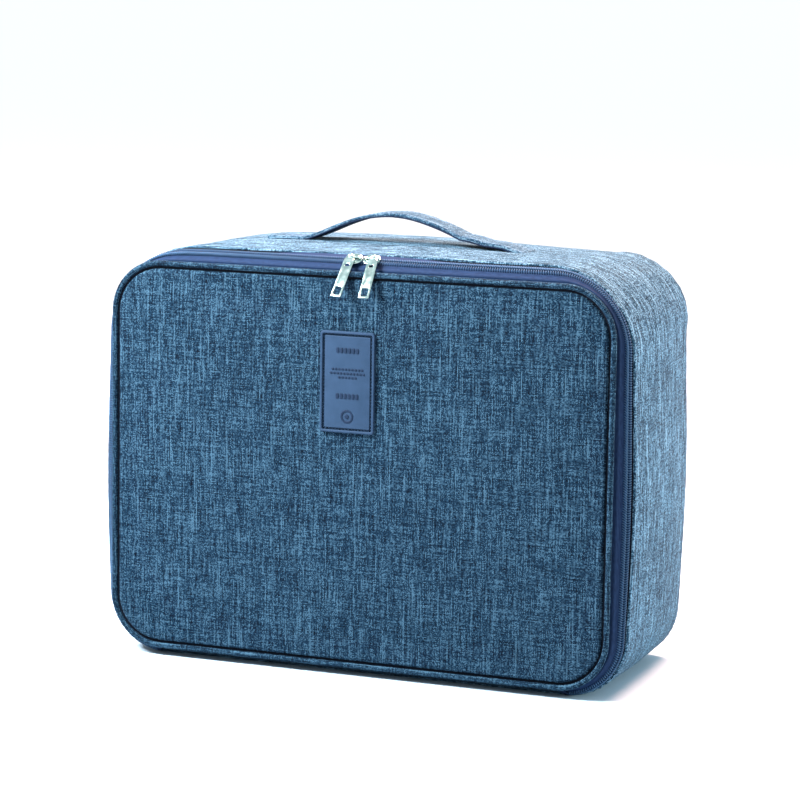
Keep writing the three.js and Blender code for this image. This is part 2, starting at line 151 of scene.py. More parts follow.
def corner(index, start=0.0, end=90.0, steps=CORNER_STEPS):
    """Stations on a corner: 0 top right, 1 top left, 2 bottom left, 3 bottom right."""
    return [("arc", index, start + (end - start) * i / steps) for i in range(steps + 1)]


def edge(index, step=EDGE_STEP):
    """Stations on the straight that follows a corner, its two ends left out."""
    length = (PANEL.width, PANEL.high - PANEL.low)[index % 2] - 2 * PANEL.top_radius
    count = max(4, round(length / step))
    return [("edge", index, i / count) for i in range(1, count)]


def all_round(step=EDGE_STEP, steps=CORNER_STEPS):
    return [s for index in range(4) for s in corner(index, steps=steps) + edge(index, step)]


def one_side(index):
    """The straight that follows a corner, with its two ends."""
    return [("arc", index, 90.0)] + edge(index) + [("arc", (index + 1) % 4, 0.0)]


def run_over_top(first_angle, last_angle, step=EDGE_STEP, steps=CORNER_STEPS):
    """From the lower right corner, up, over the top and down to the lower left corner."""
    return (
        corner(3, first_angle, 90, steps) + edge(3, step) + corner(0, steps=steps) + edge(0, step)
        + corner(1, steps=steps) + edge(1, step) + corner(2, 0, last_angle, steps)
    )


def corner_centre(rim, index):
    right, top = index in (0, 3), index < 2
    radius = rim.top_radius if top else rim.bottom_radius
    x = (1 if right else -1) * (rim.width / 2 - radius)
    z = rim.high - radius if top else rim.low + radius
    return np.array([x, z]), radius


def outline(rim, stations):
    """The points (x, z) of a rim at the stations."""
    points = []
    for kind, index, value in stations:
        turn = math.radians(90 * index + value if kind == "arc" else 90 * (index + 1))
        normal = np.array([math.cos(turn), math.sin(turn)])
        centre, radius = corner_centre(rim, index)
        start = centre + radius * normal
        if kind == "arc":
            points.append(start)
            continue
        end_centre, end_radius = corner_centre(rim, (index + 1) % 4)
        end = end_centre + end_radius * normal
        from_low = value if index == 3 else 1 - value
        swell = rim.bow * math.sin(math.pi * from_low ** 0.85) ** 1.3 if index in (1, 3) else 0
        points.append(start * (1 - value) + end * value + normal * swell)
    return np.array(points)


# ------------------------------------------------------------------ meshes

def build_mesh(name, vertices, faces, material, loop_uvs=None, closed=True):
    """A smooth mesh object from points in the bag's millimetres, with a weave map in millimetres."""
    mesh = bpy.data.meshes.new(name)
    placed = (np.asarray(vertices, float) + [0, PLANE_Y, 0]) * MM
    mesh.from_pydata(placed.tolist(), [], faces)
    if loop_uvs is not None:
        layer = mesh.uv_layers.new(name="weave")
        layer.data.foreach_set("uv", np.asarray(loop_uvs, np.float32).ravel())
    mesh.update()
    piece = bpy.data.objects.new(name, mesh)
    SCENE.collection.objects.link(piece)
    mesh.materials.append(material)
    mesh.polygons.foreach_set("use_smooth", [True] * len(mesh.polygons))
    if closed:
        cage = bmesh.new()
        cage.from_mesh(mesh)
        bmesh.ops.recalc_face_normals(cage, faces=cage.faces)
        cage.to_mesh(mesh)
        cage.free()
    return piece


def skin(runs, count, closed=False):
    """Faces between neighbouring sections of a run, where point k of section i is i * count + k."""
    faces = []
    for i in range(runs if closed else runs - 1):
        j = (i + 1) % runs
        for k in range(count):
            m = (k + 1) % count
            faces.append((i * count + k, j * count + k, j * count + m, i * count + m))
    return faces


def capped(runs, count):
    """The same faces for an open run, with its two ends closed."""
    last = (runs - 1) * count
    return skin(runs, count) + [tuple(range(count)), tuple(range(last + count - 1, last - 1, -1))]


def sweep(name, sections, material, u, v, closed_run=False):
    """A closed section carried along a run. sections is (run, section, 3); u and v are the weave map."""
    runs, count, _ = sections.shape
    uvs = [(u[i + across], v[k + up])
           for i in range(runs if closed_run else runs - 1) for k in range(count)
           for across, up in ((0, 0), (1, 0), (1, 1), (0, 1))]
    if not closed_run:
        uvs += [(u[0], v[k]) for k in range(count)]
        uvs += [(u[-1], v[k]) for k in reversed(range(count))]
    faces = skin(runs, count, True) if closed_run else capped(runs, count)
    return build_mesh(name, sections.reshape(-1, 3), faces, material, uvs)


def inset_rows(rim, stops):
    """Rows of (rim, y) from stops of (distance in from the rim, y)."""
    return [(rim.grow(-inset), y) for inset, y in stops]


def ring_sections(rows, stations):
    """rows is a list of (rim, y). Gives the swept points, station by station."""
    columns = []
    for rim, y in rows:
        points = outline(rim, stations)
        columns.append(np.column_stack([points[:, 0], np.full(len(points), y), points[:, 1]]))
    return np.stack(columns, axis=1)


def swept_band(name, rows, stations, material, closed=False, shift=None):
    """A band round the bag whose section is rows of (rim, y). shift moves the finished points."""
    sections = ring_sections(rows, stations)
    u = arc_lengths(sections[:, 0][:, [0, 2]], closed)
    v = arc_lengths(np.array([(rim.high, y) for rim, y in rows]), True)
    if shift is not None:
        sections = shift(sections, u)
    return sweep(name, sections, material, u, v, closed)


def lens(name, rows, material, shift):
    """A closed panel. rows of (rim, y) run from its face's middle, out round its edge, to its back.

    The first and last rows are narrow, and a strip of faces joins their upper and lower halves.
    """
    sections = ring_sections(rows, all_round())
    runs, count, _ = sections.shape
    sections = shift(sections, np.zeros(runs))
    faces = []
    for i in range(runs):
        j = (i + 1) % runs
        for k in range(count - 1):
            faces.append((i * count + k, j * count + k, j * count + k + 1, i * count + k + 1))
    for column in (0, count - 1):
        faces += bridge([i * count + column for i in range(runs)], sections[:, column, 0])
    points = sections.reshape(-1, 3)
    uvs = [(points[v][2], points[v][0]) for face in faces for v in face]
    return build_mesh(name, points, faces, material, uvs)


def bridge(ring, xs):
    """Faces across a flat ring: each point joins its mirror image on the other side."""
    count = len(ring)
    rightmost = max(range(count), key=lambda i: xs[i])
    order = [ring[(rightmost + i) % count] for i in range(count)]
    faces = [(order[0], order[1], order[-1])]
    i, j = 1, count - 1
    while j - i > 2:
        faces.append((order[i], order[i + 1], order[j - 1], order[j]))
        i, j = i + 1, j - 1
    if j - i == 2:
        faces.append((order[i], order[i + 1], order[j]))
    return faces


def by_point(move):
    """Makes a shift of swept points from move(point, row, distance along), one point's new place."""
    def shift(sections, u):
        out = sections.copy()
        for i, section in enumerate(sections):
            for k, point in enumerate(section):
                out[i, k] = move(point, k, u[i])
        return out
    return shift


def hold(piece, body, *nodes, slot):
    """The piece rides on a body and stands for its CAD nodes, which are hidden. Its slot is not used."""
    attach(piece, body)
    if nodes:
        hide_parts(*nodes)


def bend(piece, body_a, body_b, start, end, *nodes, slot):
    """Bakes the piece's place into its mesh and hides its CAD nodes. body_a, body_b and slot are not used."""
    start, end = (tuple((np.array(point) + [0, PLANE_Y, 0]) * MM) for point in (start, end))
    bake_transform(piece)
    if nodes:
        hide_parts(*nodes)


# ------------------------------------------------------------------ materials

class Nodes:
    """Short names for building a material's node tree."""

    def __init__(self, name, **uniform):
        self.material = bpy.data.materials.new(name)
        self.material.use_nodes = True
        self.tree = self.material.node_tree
        self.shader = self.tree.nodes["Principled BSDF"]
        for socket, value in uniform.items():
            self.shader.inputs[socket.replace("_", " ")].default_value = value

    def add(self, kind, inputs=(), **settings):
        """A node. inputs are (socket, value) pairs, where a value is a number or another socket."""
        node = self.tree.nodes.new(kind)
        for key, value in settings.items():
            setattr(node, key, value)
        for socket, value in inputs:
            if isinstance(value, bpy.types.NodeSocket):
                self.tree.links.new(value, node.inputs[socket])
            else:
                node.inputs[socket].default_value = value
        return node

    def math(self, operation, *values):
        return self.add("ShaderNodeMath", enumerate(values), operation=operation).outputs[0]

    def times(self, a, b, plus=None):
        return self.math("MULTIPLY", a, b) if plus is None else self.math("MULTIPLY_ADD", a, b, plus)

    def minus(self, a, b):
        return self.math("SUBTRACT", a, b)

    def ribs(self, value, pitch):
        return self.math("SINE", self.times(value, math.pi / pitch))

    def weave(self):
        """The weave map's two coordinates, in millimetres: along the piece and across it."""
        uv = self.add("ShaderNodeUVMap", uv_map="weave").outputs["UV"]
        return self.add("ShaderNodeSeparateXYZ", [(0, uv)]).outputs[:2]

    def place(self):
        """The point in the object's own space, in millimetres."""
        point = self.add("ShaderNodeTexCoord").outputs["Object"]
        scale = self.add("ShaderNodeVectorMath", [(0, point), ("Scale", 1 / MM)], operation="SCALE")
        return scale.outputs[0]

    def vector(self, x, y, z=0.0):
        return self.add("ShaderNodeCombineXYZ", enumerate((x, y, z))).outputs[0]

    def noise(self, vector, scale=1.0, detail=2.0, roughness=0.5):
        inputs = [("Vector", vector), ("Scale", scale), ("Detail", detail), ("Roughness", roughness)]
        return self.add("ShaderNodeTexNoise", inputs).outputs["Fac"]

    def stretched(self, a, a_scale, b, b_scale, detail=2.0, offset=0.0):
        """Noise over two coordinates, each with its own scale."""
        return self.noise(self.vector(self.times(a, a_scale), self.times(b, b_scale), offset), 1.0, detail)

    def spread(self, value, low, high, to_low=0.0, to_high=1.0):
        inputs = [("Value", value), ("From Min", low), ("From Max", high),
                  ("To Min", to_low), ("To Max", to_high)]
        return self.add("ShaderNodeMapRange", inputs).outputs["Result"]

    def colour(self, value, *stops):
        """The base colour, from stops of (position, colour) along a value."""
        ramp = self.add("ShaderNodeValToRGB", [("Fac", value)])
        points = ramp.color_ramp.elements
        while len(points) < len(stops):
            points.new(0.5)
        for point, (position, colour) in zip(points, stops):
            point.position = position
            point.color = (*colour, 1)
        self.tree.links.new(ramp.outputs["Color"], self.shader.inputs["Base Color"])

    def two_tone(self, value, dark, light):
        self.colour(self.spread(value, 0.3, 0.7), (0.0, dark), (1.0, light))

    def finish(self, bump, bump_mm, strength, rough, low, high):
        """Bump from one value and roughness from another. Gives the material."""
        inputs = [("Strength", strength), ("Distance", bump_mm * MM), ("Height", bump)]
        normal = self.add("ShaderNodeBump", inputs).outputs["Normal"]
        self.tree.links.new(normal, self.shader.inputs["Normal"])
        return self.roughen(rough, low, high)

    def roughen(self, value, low, high):
        self.tree.links.new(self.spread(value, 0.3, 0.7, low, high), self.shader.inputs["Roughness"])
        return self.material


def heather(name, tones, warp_pitch, half_range, drift_mm, sheen, streaks):
    """Heathered plain weave. Every thread changes tone along its length, the warp in longer runs.

    The warp runs along the piece. A few threads stay pale for a long way, thicker slubs follow
    the warp, and a grain of odd crossings covers it all. tones are dark, middle and light.
    """
    n = Nodes(name, Sheen_Weight=sheen, Sheen_Roughness=0.25, Specular_IOR_Level=0.05)
    along, across = n.weave()
    weft_pitch, slub_pitch = 0.7, 2.7 * warp_pitch
    drift = n.stretched(along, 0.015, across, 0.015, 1.0)
    across = n.times(drift, drift_mm, across)
    along = n.times(drift, 0.7 * drift_mm, along)
    warp = n.math("FLOOR", n.math("DIVIDE", across, warp_pitch))
    weft = n.math("FLOOR", n.math("DIVIDE", along, weft_pitch))

    warp_tone = n.stretched(along, 1 / 20, warp, 7.31)
    pale_runs = n.stretched(along, 1 / 40, warp, 3.77, 0.0, 4.0)
    weft_tone = n.stretched(weft, 5.17, across, 1 / 24)
    slubs = n.stretched(along, 1 / 26, across, 1 / slub_pitch, 1.0, 9.0)
    grain = n.add("ShaderNodeTexWhiteNoise", [("Vector", n.vector(warp, weft))], noise_dimensions="2D")
    over = n.math("PINGPONG", n.math("ADD", warp, weft), 1.0)

    total = n.times(n.math("MAXIMUM", n.minus(pale_runs, 0.62), 0.0), 2.2)
    for part, share in ((warp_tone, n.times(over, -0.4, streaks)),
                        (weft_tone, n.times(over, 0.5, 2.1 - streaks)),
                        (grain.outputs["Value"], 0.62),
                        (slubs, 0.15 * warp_pitch)):
        total = n.times(n.minus(part, 0.5), share, total)
    tone = n.spread(total, -half_range, half_range)

    warp_round = n.math("ABSOLUTE", n.ribs(across, warp_pitch))
    weft_round = n.math("ABSOLUTE", n.ribs(along, weft_pitch))
    height = n.times(n.minus(weft_round, warp_round), over, warp_round)
    # Colour darkens where a thread dips under the one crossing it: painted shade between threads.
    n.colour(n.times(tone, n.times(height, 0.3, 0.81)), *zip((0.0, 0.5, 1.0), tones))
    return n.finish(n.times(tone, 0.6, height), 0.16, 0.6, slubs, 0.8, 0.92)


def tape_material(name, dark, light):
    """Woven zipper tape: fine ribs along it, crossed by a faint twill."""
    n = Nodes(name, Specular_IOR_Level=0.06)
    along, across = n.weave()
    twill = n.math("SINE", n.times(across, 5.0, n.times(along, 5.0)))
    weave = n.times(n.ribs(across, 0.55), 0.6, n.times(twill, 0.4))
    cloud = n.stretched(along, 0.25, across, 0.7, 3.0)
    n.two_tone(n.times(weave, 0.09, cloud), dark, light)
    return n.finish(weave, 0.1, 0.5, cloud, 0.6, 0.75)


def nylon_material(name, dark, light):
    n = Nodes(name, Specular_IOR_Level=0.15)
    cloud = n.noise(n.place(), 0.6)
    n.two_tone(cloud, dark, light)
    return n.finish(n.noise(n.place(), 3.0), 0.05, 0.3, cloud, 0.38, 0.55)


def metal_material():
    """Bright plating with faint polishing scratches and handling marks."""
    n = Nodes("bright_plating", Metallic=1.0)
    x, y, z = n.add("ShaderNodeSeparateXYZ", [(0, n.place())]).outputs
    scratches = n.noise(n.vector(n.times(x, 6.0), n.times(y, 0.6), n.times(z, 0.6)), 1.0, 3.0)
    smudge = n.noise(n.place(), 0.25, 3.0)
    # The plating's colour is tinted blue-green: painted reflection of the navy cloth round it.
    n.two_tone(smudge, (0.31, 0.45, 0.44), (0.46, 0.59, 0.57))
    return n.finish(scratches, 0.02, 0.25, smudge, 0.08, 0.17)


def rubber_material(name, dark, light):
    """Satin moulded rubber, a little paler where it is rubbed."""
    n = Nodes(name, Specular_IOR_Level=0.1)
    cloud = n.noise(n.place(), 0.12, 4.0)
    grain = n.noise(n.place(), 2.2, 3.0, 0.6)
    n.two_tone(n.times(grain, 0.25, n.times(cloud, 0.75)), dark, light)
    return n.finish(grain, 0.05, 0.35, cloud, 0.55, 0.7)


def foam_material():
    n = Nodes("foam", Specular_IOR_Level=0.2)
    cells = n.add("ShaderNodeTexVoronoi", [("Vector", n.place()), ("Scale", 0.9)]).outputs["Distance"]
    n.colour(cells, (0.0, (0.62, 0.62, 0.60)), (0.6, (0.80, 0.80, 0.78)))
    return n.finish(cells, 0.3, 0.6, cells, 0.85, 0.95)


def lining_material():
    """Thin coated lining with a fine grid weave and soft creases."""
    n = Nodes("lining_cloth", Specular_IOR_Level=0.12)
    along, across = n.weave()
    grid = n.math("MAXIMUM", n.ribs(along, 0.6), n.ribs(across, 0.6))
    cloud = n.stretched(along, 0.03, across, 0.03, 4.0)
    n.two_tone(n.times(grid, 0.06, cloud), (0.010, 0.021, 0.050), (0.016, 0.031, 0.068))
    return n.finish(n.times(grid, 0.15, cloud), 0.5, 0.4, cloud, 0.65, 0.8)


def mesh_material():
    """Knitted pocket mesh: dark threads round rows of small open cells."""
    n = Nodes("pocket_mesh", Specular_IOR_Level=0.08)
    along, across = n.weave()
    cell = n.math("ABSOLUTE", n.times(n.ribs(across, 1.1), n.ribs(along, 1.1)))
    n.colour(cell, (0.0, (0.020, 0.032, 0.065)), (0.7, (0.004, 0.008, 0.018)))
    cloud = n.stretched(along, 0.05, across, 0.05)
    return n.finish(n.minus(1.0, cell), 0.4, 0.8, cloud, 0.7, 0.85)


def floor_material():
    """A pale sweep, greyer under the bag so that its soft shadow shows in the strong light."""
    n = Nodes("pale_floor", Specular_IOR_Level=0.2)
    reach = n.add("ShaderNodeVectorMath", [(0, n.place())], operation="LENGTH").outputs["Value"]
    n.colour(n.spread(reach, 400.0, 3400.0), (0.0, (0.36, 0.46, 0.54)), (1.0, (0.92, 0.935, 0.95)))
    return n.roughen(n.noise(n.place(), 0.004), 0.7, 0.8)


# One cloth: lighter, greyer gusset and strap tones are painted light; darker front tones are painted shade.
FRONT_HEATHER = heather(
    "heather_front", [(0.0002, 0.0016, 0.0050), (0.0034, 0.0150, 0.0315), (0.034, 0.078, 0.120)],
    warp_pitch=0.7, half_range=0.48, drift_mm=1.2, sheen=0.01, streaks=1.45)
GUSSET_HEATHER = heather(
    "heather_gusset", [(0.0004, 0.004, 0.010), (0.011, 0.038, 0.068), (0.108, 0.200, 0.280)],
    warp_pitch=1.0, half_range=0.42, drift_mm=2.5, sheen=0.05, streaks=1.85)
STRAP_HEATHER = heather(
    "heather_strap", [(0.003, 0.010, 0.022), (0.011, 0.036, 0.066), (0.095, 0.165, 0.225)],
    warp_pitch=0.7, half_range=0.42, drift_mm=1.2, sheen=0.06, streaks=1.6)
TAPE = tape_material("zipper_tape_navy", (0.0035, 0.012, 0.036), (0.009, 0.023, 0.060))
TAPE_DARK = tape_material("binding_navy", (0.002, 0.006, 0.018), (0.005, 0.013, 0.034))
# Near-black cloth for painted shade: the groove round the front panel and the strip under the gusset's fold.
PAINTED_SHADE = tape_material("painted_shade_cloth", (0.0004, 0.0015, 0.004), (0.001, 0.003, 0.008))
COIL = nylon_material("nylon_coil_navy", (0.013, 0.042, 0.090), (0.028, 0.072, 0.142))
THREAD = nylon_material("sewing_thread", (0.060, 0.130, 0.220), (0.110, 0.200, 0.310))
METAL = metal_material()
RUBBER = rubber_material("patch_rubber", (0.0095, 0.025, 0.052), (0.0145, 0.0335, 0.068))
# Darker than the patch's rubber: painted shade for the marks' relief.
RUBBER_MARKS = rubber_material("patch_marks", (0.003, 0.010, 0.026), (0.006, 0.016, 0.038))
FOAM = foam_material()
LINING = lining_material()
MESH = mesh_material()


# ------------------------------------------------------------------ camera, light and floor

def towards(azimuth, elevation):
    """The unit vector towards a place at these angles, in degrees, seen from the bag's front."""
    turn, lift = math.radians(azimuth), math.radians(elevation)
    return Vector((math.sin(turn) * math.cos(lift), -math.cos(turn) * math.cos(lift), math.sin(lift)))


def aim_camera():
    """The camera stands to the bag's right and a little above, aimed close to the bag's middle."""
    distance, lens_mm, sensor_mm = 2.112, 133.6, 36
    stands_at = towards(21.179, 9.592)
    look_azimuth, look_elevation, roll = 21.146, 8.528, math.radians(-0.907)
    middle = Vector((0, (PLANE_Y + DEPTH / 2) * MM, (PANEL.low + PANEL.high) / 2 * MM))
    back = towards(look_azimuth, look_elevation)
    right = Vector((math.cos(math.radians(look_azimuth)), math.sin(math.radians(look_azimuth)), 0))
    up = back.cross(right)
    turned_right = right * math.cos(roll) - up * math.sin(roll)
    turned_up = right * math.sin(roll) + up * math.cos(roll)
    data = bpy.data.cameras.new("camera")
    data.sensor_width, data.lens = sensor_mm, lens_mm
    camera = bpy.data.objects.new("camera", data)
    axes = Matrix((turned_right, turned_up, back)).transposed()
    camera.matrix_world = Matrix.Translation(middle + distance * stands_at) @ axes.to_4x4()
    SCENE.collection.objects.link(camera)
    SCENE.camera = camera


def softbox(name, place, target, width, height, power, colour):
    data = bpy.data.lights.new(name, "AREA")
    data.shape = "RECTANGLE"
    data.size, data.size_y = width, height
    data.energy, data.color = power, colour
    light = bpy.data.objects.new(name, data)
    light.location = place
    light.rotation_euler = (Vector(target) - Vector(place)).to_track_quat("-Z", "Y").to_euler()
    SCENE.collection.objects.link(light)


def light_scene():
    world = bpy.data.worlds.new("studio")
    SCENE.world = world
    world.use_nodes = True
    background = world.node_tree.nodes["Background"]
    background.inputs["Color"].default_value = (0.92, 0.965, 1.0, 1)
    background.inputs["Strength"].default_value = 1.14
    softbox("overhead", (0.25, 0.45, 1.6), (0, 0.05, 0.25), 1.3, 0.6, 152, (1.0, 0.57, 0.44))
    softbox("right_side", (1.9, 0.75, 0.28), (0.1, 0, 0.15), 1.1, 0.5, 68, (0.72, 0.96, 1.0))
    softbox("front_left", (-0.62, -0.58, 0.95), (-0.08, -0.07, 0.22), 0.4, 0.4, 74, (1.0, 1.0, 1.0))
    SCENE.view_settings.view_transform = "Standard"


def lay_floor():
    half = 40.0
    floor = bpy.data.objects.new("floor", bpy.data.meshes.new("floor"))
    corners = [(-half, -half, 0), (half, -half, 0), (half, half, 0), (-half, half, 0)]
    floor.data.from_pydata(corners, [], [(0, 1, 2, 3)])
    floor.data.materials.append(floor_material())
    SCENE.collection.objects.link(floor)


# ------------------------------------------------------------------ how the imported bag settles

CROWN_FROM, CROWN_FULL = 180, 270  # heights between which the crown comes in
CROWN_X, CROWN_RISE, CROWN_SINK = -25, 4.5, 1.3
SLUMP_FROM, SLUMP_FULL, SLUMP = -108, -150, 2.4
DIP_X, DIP_WIDTH, DIP = 172, 18, 1.6
RIGHT_CORNER_TIGHTER, LEFT_CORNER_LOOSER = 10.5, 9.5


def wall_rim(y):
    """The gusset's outline at a depth: the fold's at the front, the back's at the back."""
    return FOLD.mix(BACK, (y - BAND_DEPTH) / (DEPTH - BAND_DEPTH))


def depth_share(y):
    return clamp((y - BAND_DEPTH) / (DEPTH - BAND_DEPTH))


def crown(x, y, z):
    """How far the stuffed top rises over a flat one, most of it just left of the middle.

    It slumps at the left end, and dips a little near the right one.
    """
    share = clamp((z - CROWN_FROM) / (CROWN_FULL - CROWN_FROM))
    depth = depth_share(y)
    width = 105 if x < CROWN_X else 130
    rise = CROWN_RISE * math.exp(-abs((x - CROWN_X) / width) ** 3) - CROWN_SINK
    slump = ease((SLUMP_FROM - x) / (SLUMP_FROM - SLUMP_FULL), SLUMP) * min(1, 0.5 + 2 * depth)
    dip = DIP * math.exp(-((x - DIP_X) / DIP_WIDTH) ** 2) * depth
    return share * (rise * (1 - (1 - depth) ** 2) - slump - dip)


def settle(point):
    """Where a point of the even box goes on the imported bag: crowned, with two uneven top corners."""
    x, y, z = point
    band = clamp(y / BAND_DEPTH)
    depth = depth_share(y)
    out = np.array([x, y, z + band * crown(x, y, z)])
    rim = wall_rim(min(max(y, BAND_DEPTH), DEPTH))
    for index, side, tighter, reach in (
        (0, 1, RIGHT_CORNER_TIGHTER, depth),
        (1, -1, -LEFT_CORNER_LOOSER, band * min(1, 0.7 + 2 * depth)),
    ):
        centre, radius = corner_centre(rim, index)
        dx, dz = (x - centre[0]) * side, z - centre[1]
        if dx > 0 and dz > 0:
            length = math.hypot(dx, dz)
            push = tighter * reach * ((dx + dz) / length - 1) * min(1, length / radius) ** 3
            out += np.array([side * dx, 0, dz]) / length * push
    return out


@by_point
def settled(point, _row, _along):
    return settle(point)


# ------------------------------------------------------------------ lid

FRONT_FACE = -1.7


def edge_distance(x, z):
    """How far inside the piping's outline a point is, roughly, in millimetres."""
    half, tall, radius = PANEL.width / 2, PANEL.half_height(), PANEL.top_radius
    from_middle = abs(z - (PANEL.high + PANEL.low) / 2)
    dx, dz = abs(x) - (half - radius), from_middle - (tall - radius)
    if dx > 0 and dz > 0:
        return radius - math.hypot(dx, dz)
    return min(half - abs(x), tall - from_middle)


def widen_left(piece, reach=2.0):
    """The lid stands out a little on the left, where it hides the zipper from the front."""
    for vertex in piece.data.vertices:
        x, y, _ = vertex.co / MM
        front = max(0, 1 - max(0, y - PLANE_Y) / (0.7 * BAND_DEPTH))
        vertex.co.x -= ease((-x - 110) / 60, reach) * front * MM


def make_front_panel():
    """The front swells gently over its foam, with faint slack near its edge."""
    tall = PANEL.half_height()
    insets = [tall - 1, 118, 100, 84, 70, 58, 47, 38, 30, 23, 17, 12.5, 9.5, 7.5, 6.2, 5.2]
    turned_under = [(4.6, -1.45), (4.1, -1.0), (3.75, -0.3), (3.6, 0.6), (3.4, 1.5), (2.8, 2.1), (0.8, 2.2),
                    (1.0, 2.6), (tall - 1, 2.6)]
    stops = [(inset, FRONT_FACE) for inset in insets] + turned_under

    @by_point
    def puff(point, _row, _along):
        x, y, z = point
        if y > FRONT_FACE + 0.01:
            return point
        inset = max(edge_distance(x, z) - 5, 0)
        swell = 1.3 * (1 - math.exp(-inset / 28))
        slack = 0.35 * wave(x, 0, z, 62, 1.3) + 0.16 * wave(x, 0, z, 23, 4.1)
        fade = min(1, inset / 14)
        return x, y - swell * fade - slack * fade, z

    panel = lens("front_panel", inset_rows(PANEL, stops), FRONT_HEATHER, puff)
    widen_left(panel)
    hold(panel, "lid", "lid_front_fabric", slot="heather_fabric")


def make_piping():
    """A cord in a bias-cut fabric cover, with puckers along it."""
    turns = [2 * math.pi * i / 12 for i in range(12)]
    rows = [(PANEL.grow(PIPING_RADIUS * math.cos(t)), PIPING_RADIUS * math.sin(t)) for t in turns]
    pucker_pitch = 4.2

    def pucker(sections, u):
        out = sections.copy()
        centre = sections.mean(axis=1, keepdims=True)
        for i in range(len(out)):
            ripple = 0.05 * math.sin(u[i] * 2 * math.pi / pucker_pitch) + 0.06 * wave(u[i], 0, 0, 7.0)
            out[i] = centre[i] + (sections[i] - centre[i]) * (1 + ripple)
        return out

    piping = swept_band("piping", rows, all_round(3.0, 28), FRONT_HEATHER, True, pucker)
    widen_left(piping)
    hold(piping, "lid", "lid_piping", slot="heather_fabric")


def make_groove_shade():
    """A near-black strip in the groove between the front panel and the piping: painted shade."""
    stops = ((1.3, 0.9), (1.6, 0.3), (2.5, 0.15), (3.3, 0.2), (3.45, 0.9), (2.4, 1.3))
    tape = swept_band("front_groove_shade", inset_rows(PANEL, stops), all_round(4.0, 24), PAINTED_SHADE, True)
    widen_left(tape)
    hold(tape, "lid", slot="binding_tape")


# ------------------------------------------------------------------ zipper

ZIP_FIRST, ZIP_LAST = 5.0, 85.0
LID_BLEND = (0, 0, 4.5), (0, 0, 17)
COIL_PITCH = 1.7


def band_row(along, lift=0.0):
    """A row of the sloping band: along the slope from the piping, and lifted off it."""
    t = along / SLOPE_LENGTH
    rim = PANEL.mix(FOLD, t).grow(lift * math.cos(SLOPE))
    return rim, BAND_DEPTH * t - lift * math.sin(SLOPE)


def tape_rows(stops, thickness=0.5):
    """A closed section from (along, lift) stops along the tape's upper face."""
    upper = [band_row(along, lift) for along, lift in stops]
    return upper + [band_row(along, lift - thickness) for along, lift in reversed(stops)]


def make_tapes():
    stations = run_over_top(ZIP_FIRST, ZIP_LAST, 5.0)
    stops = [(0.8, -2.5), (2.6, -2.5), (3.8, -2.1), (4.4, -1.2), (4.9, -0.5), (5.8, -0.35), (7.0, -0.4),
             (8.3, -0.35), (9.1, -0.3), (9.8, 0.0), (COIL_CENTRE - 0.25, 0.1)]
    tape = swept_band("lid_tape", tape_rows(stops), stations, TAPE, False, settled)
    widen_left(tape)
    bend(tape, "shell", "lid", *LID_BLEND, "lid_zipper_tape", slot="zipper_tape")
    stops = [(COIL_CENTRE + 0.25, 0.1), (COIL_CENTRE + 2.6, 0.0), (SLOPE_LENGTH - 3.1, -0.5),
             (SLOPE_LENGTH - 1.9, -1.2), (SLOPE_LENGTH + 0.6, -1.6)]
    tape = swept_band("body_tape", tape_rows(stops), stations, TAPE, False, settled)
    hold(tape, "shell", "body_zipper_tape", slot="zipper_tape")


def make_coil(side, name):
    """One row of coil under its knitted edge: slanting stitches that meet the other row's as a V."""
    stations = run_over_top(ZIP_FIRST, ZIP_LAST, 2.5, 36)
    stitch = [(0.12, -0.75, 0.8), (0.9, -0.35, 1.25), (1.9, 0.2, 1.2), (COIL_HALF, 0.7, 0.3)]
    sides, radius = 6, 0.42

    def band_curve(along, lift):
        rim, y = band_row(along, lift)
        return np.array([settle((x, y, z)) for x, z in outline(rim, stations)])

    def sample(curve, index):
        whole = int(min(max(math.floor(index), 0), len(curve) - 2))
        part = index - whole
        return curve[whole] * (1 - part) + curve[whole + 1] * part

    lengths = arc_lengths(band_curve(COIL_CENTRE, 0))
    curves = [(band_curve(COIL_CENTRE + side * out, lift), band_curve(COIL_CENTRE + side * out, lift - 1))
              for out, _, lift in stitch]
    parts = []
    for number in range(int(lengths[-1] / COIL_PITCH)):
        start = (number + 0.5) * COIL_PITCH
        centres, ups = [], []
        for (_, slant, _), (curve, base) in zip(stitch, curves):
            index = np.interp(start + slant, lengths, np.arange(len(lengths)))
            centres.append(sample(curve, index))
            up = centres[-1] - sample(base, index)
            ups.append(up / np.linalg.norm(up))
        points = []
        for k, (centre, up) in enumerate(zip(centres, ups)):
            ahead = centres[min(k + 1, 3)] - centres[max(k - 1, 0)]
            beside = np.cross(ahead / np.linalg.norm(ahead), up)
            beside /= np.linalg.norm(beside)
            size = radius * (0.75 if k in (0, 3) else 1.0)
            for turn in (2 * math.pi * s / sides for s in range(sides)):
                points.append(centre + size * (math.cos(turn) * beside + math.sin(turn) * up))
        parts.append((points, capped(len(stitch), sides)))
    return build_mesh(name, *joined(parts), COIL)


def make_coils():
    coil = make_coil(-1, "lid_coil")
    bend(coil, "shell", "lid", *LID_BLEND, "lid_zipper_coil", slot="zipper_coil")
    coil = make_coil(1, "body_coil")
    hold(coil, "shell", "body_zipper_coil", slot="zipper_coil")


def make_end_tabs():
    """A folded tab of tape covers each end of the zipper."""
    stops = [(2.6, 0.3), (4.5, 0.9), (SLOPE_LENGTH / 2, 1.6), (SLOPE_LENGTH - 3, 1.2),
             (SLOPE_LENGTH - 0.6, 0.2)]
    for side, index, first, last in (("right", 3, 1.5, 7.5), ("left", 2, 82.5, 88.5)):
        stations = corner(index, first, last, 6)
        tab = swept_band(f"zip_end_{side}", tape_rows(stops, 0.8), stations, TAPE_DARK)
        hold(tab, "shell", f"zipper_end_tab_{side}", slot="zipper_tape")


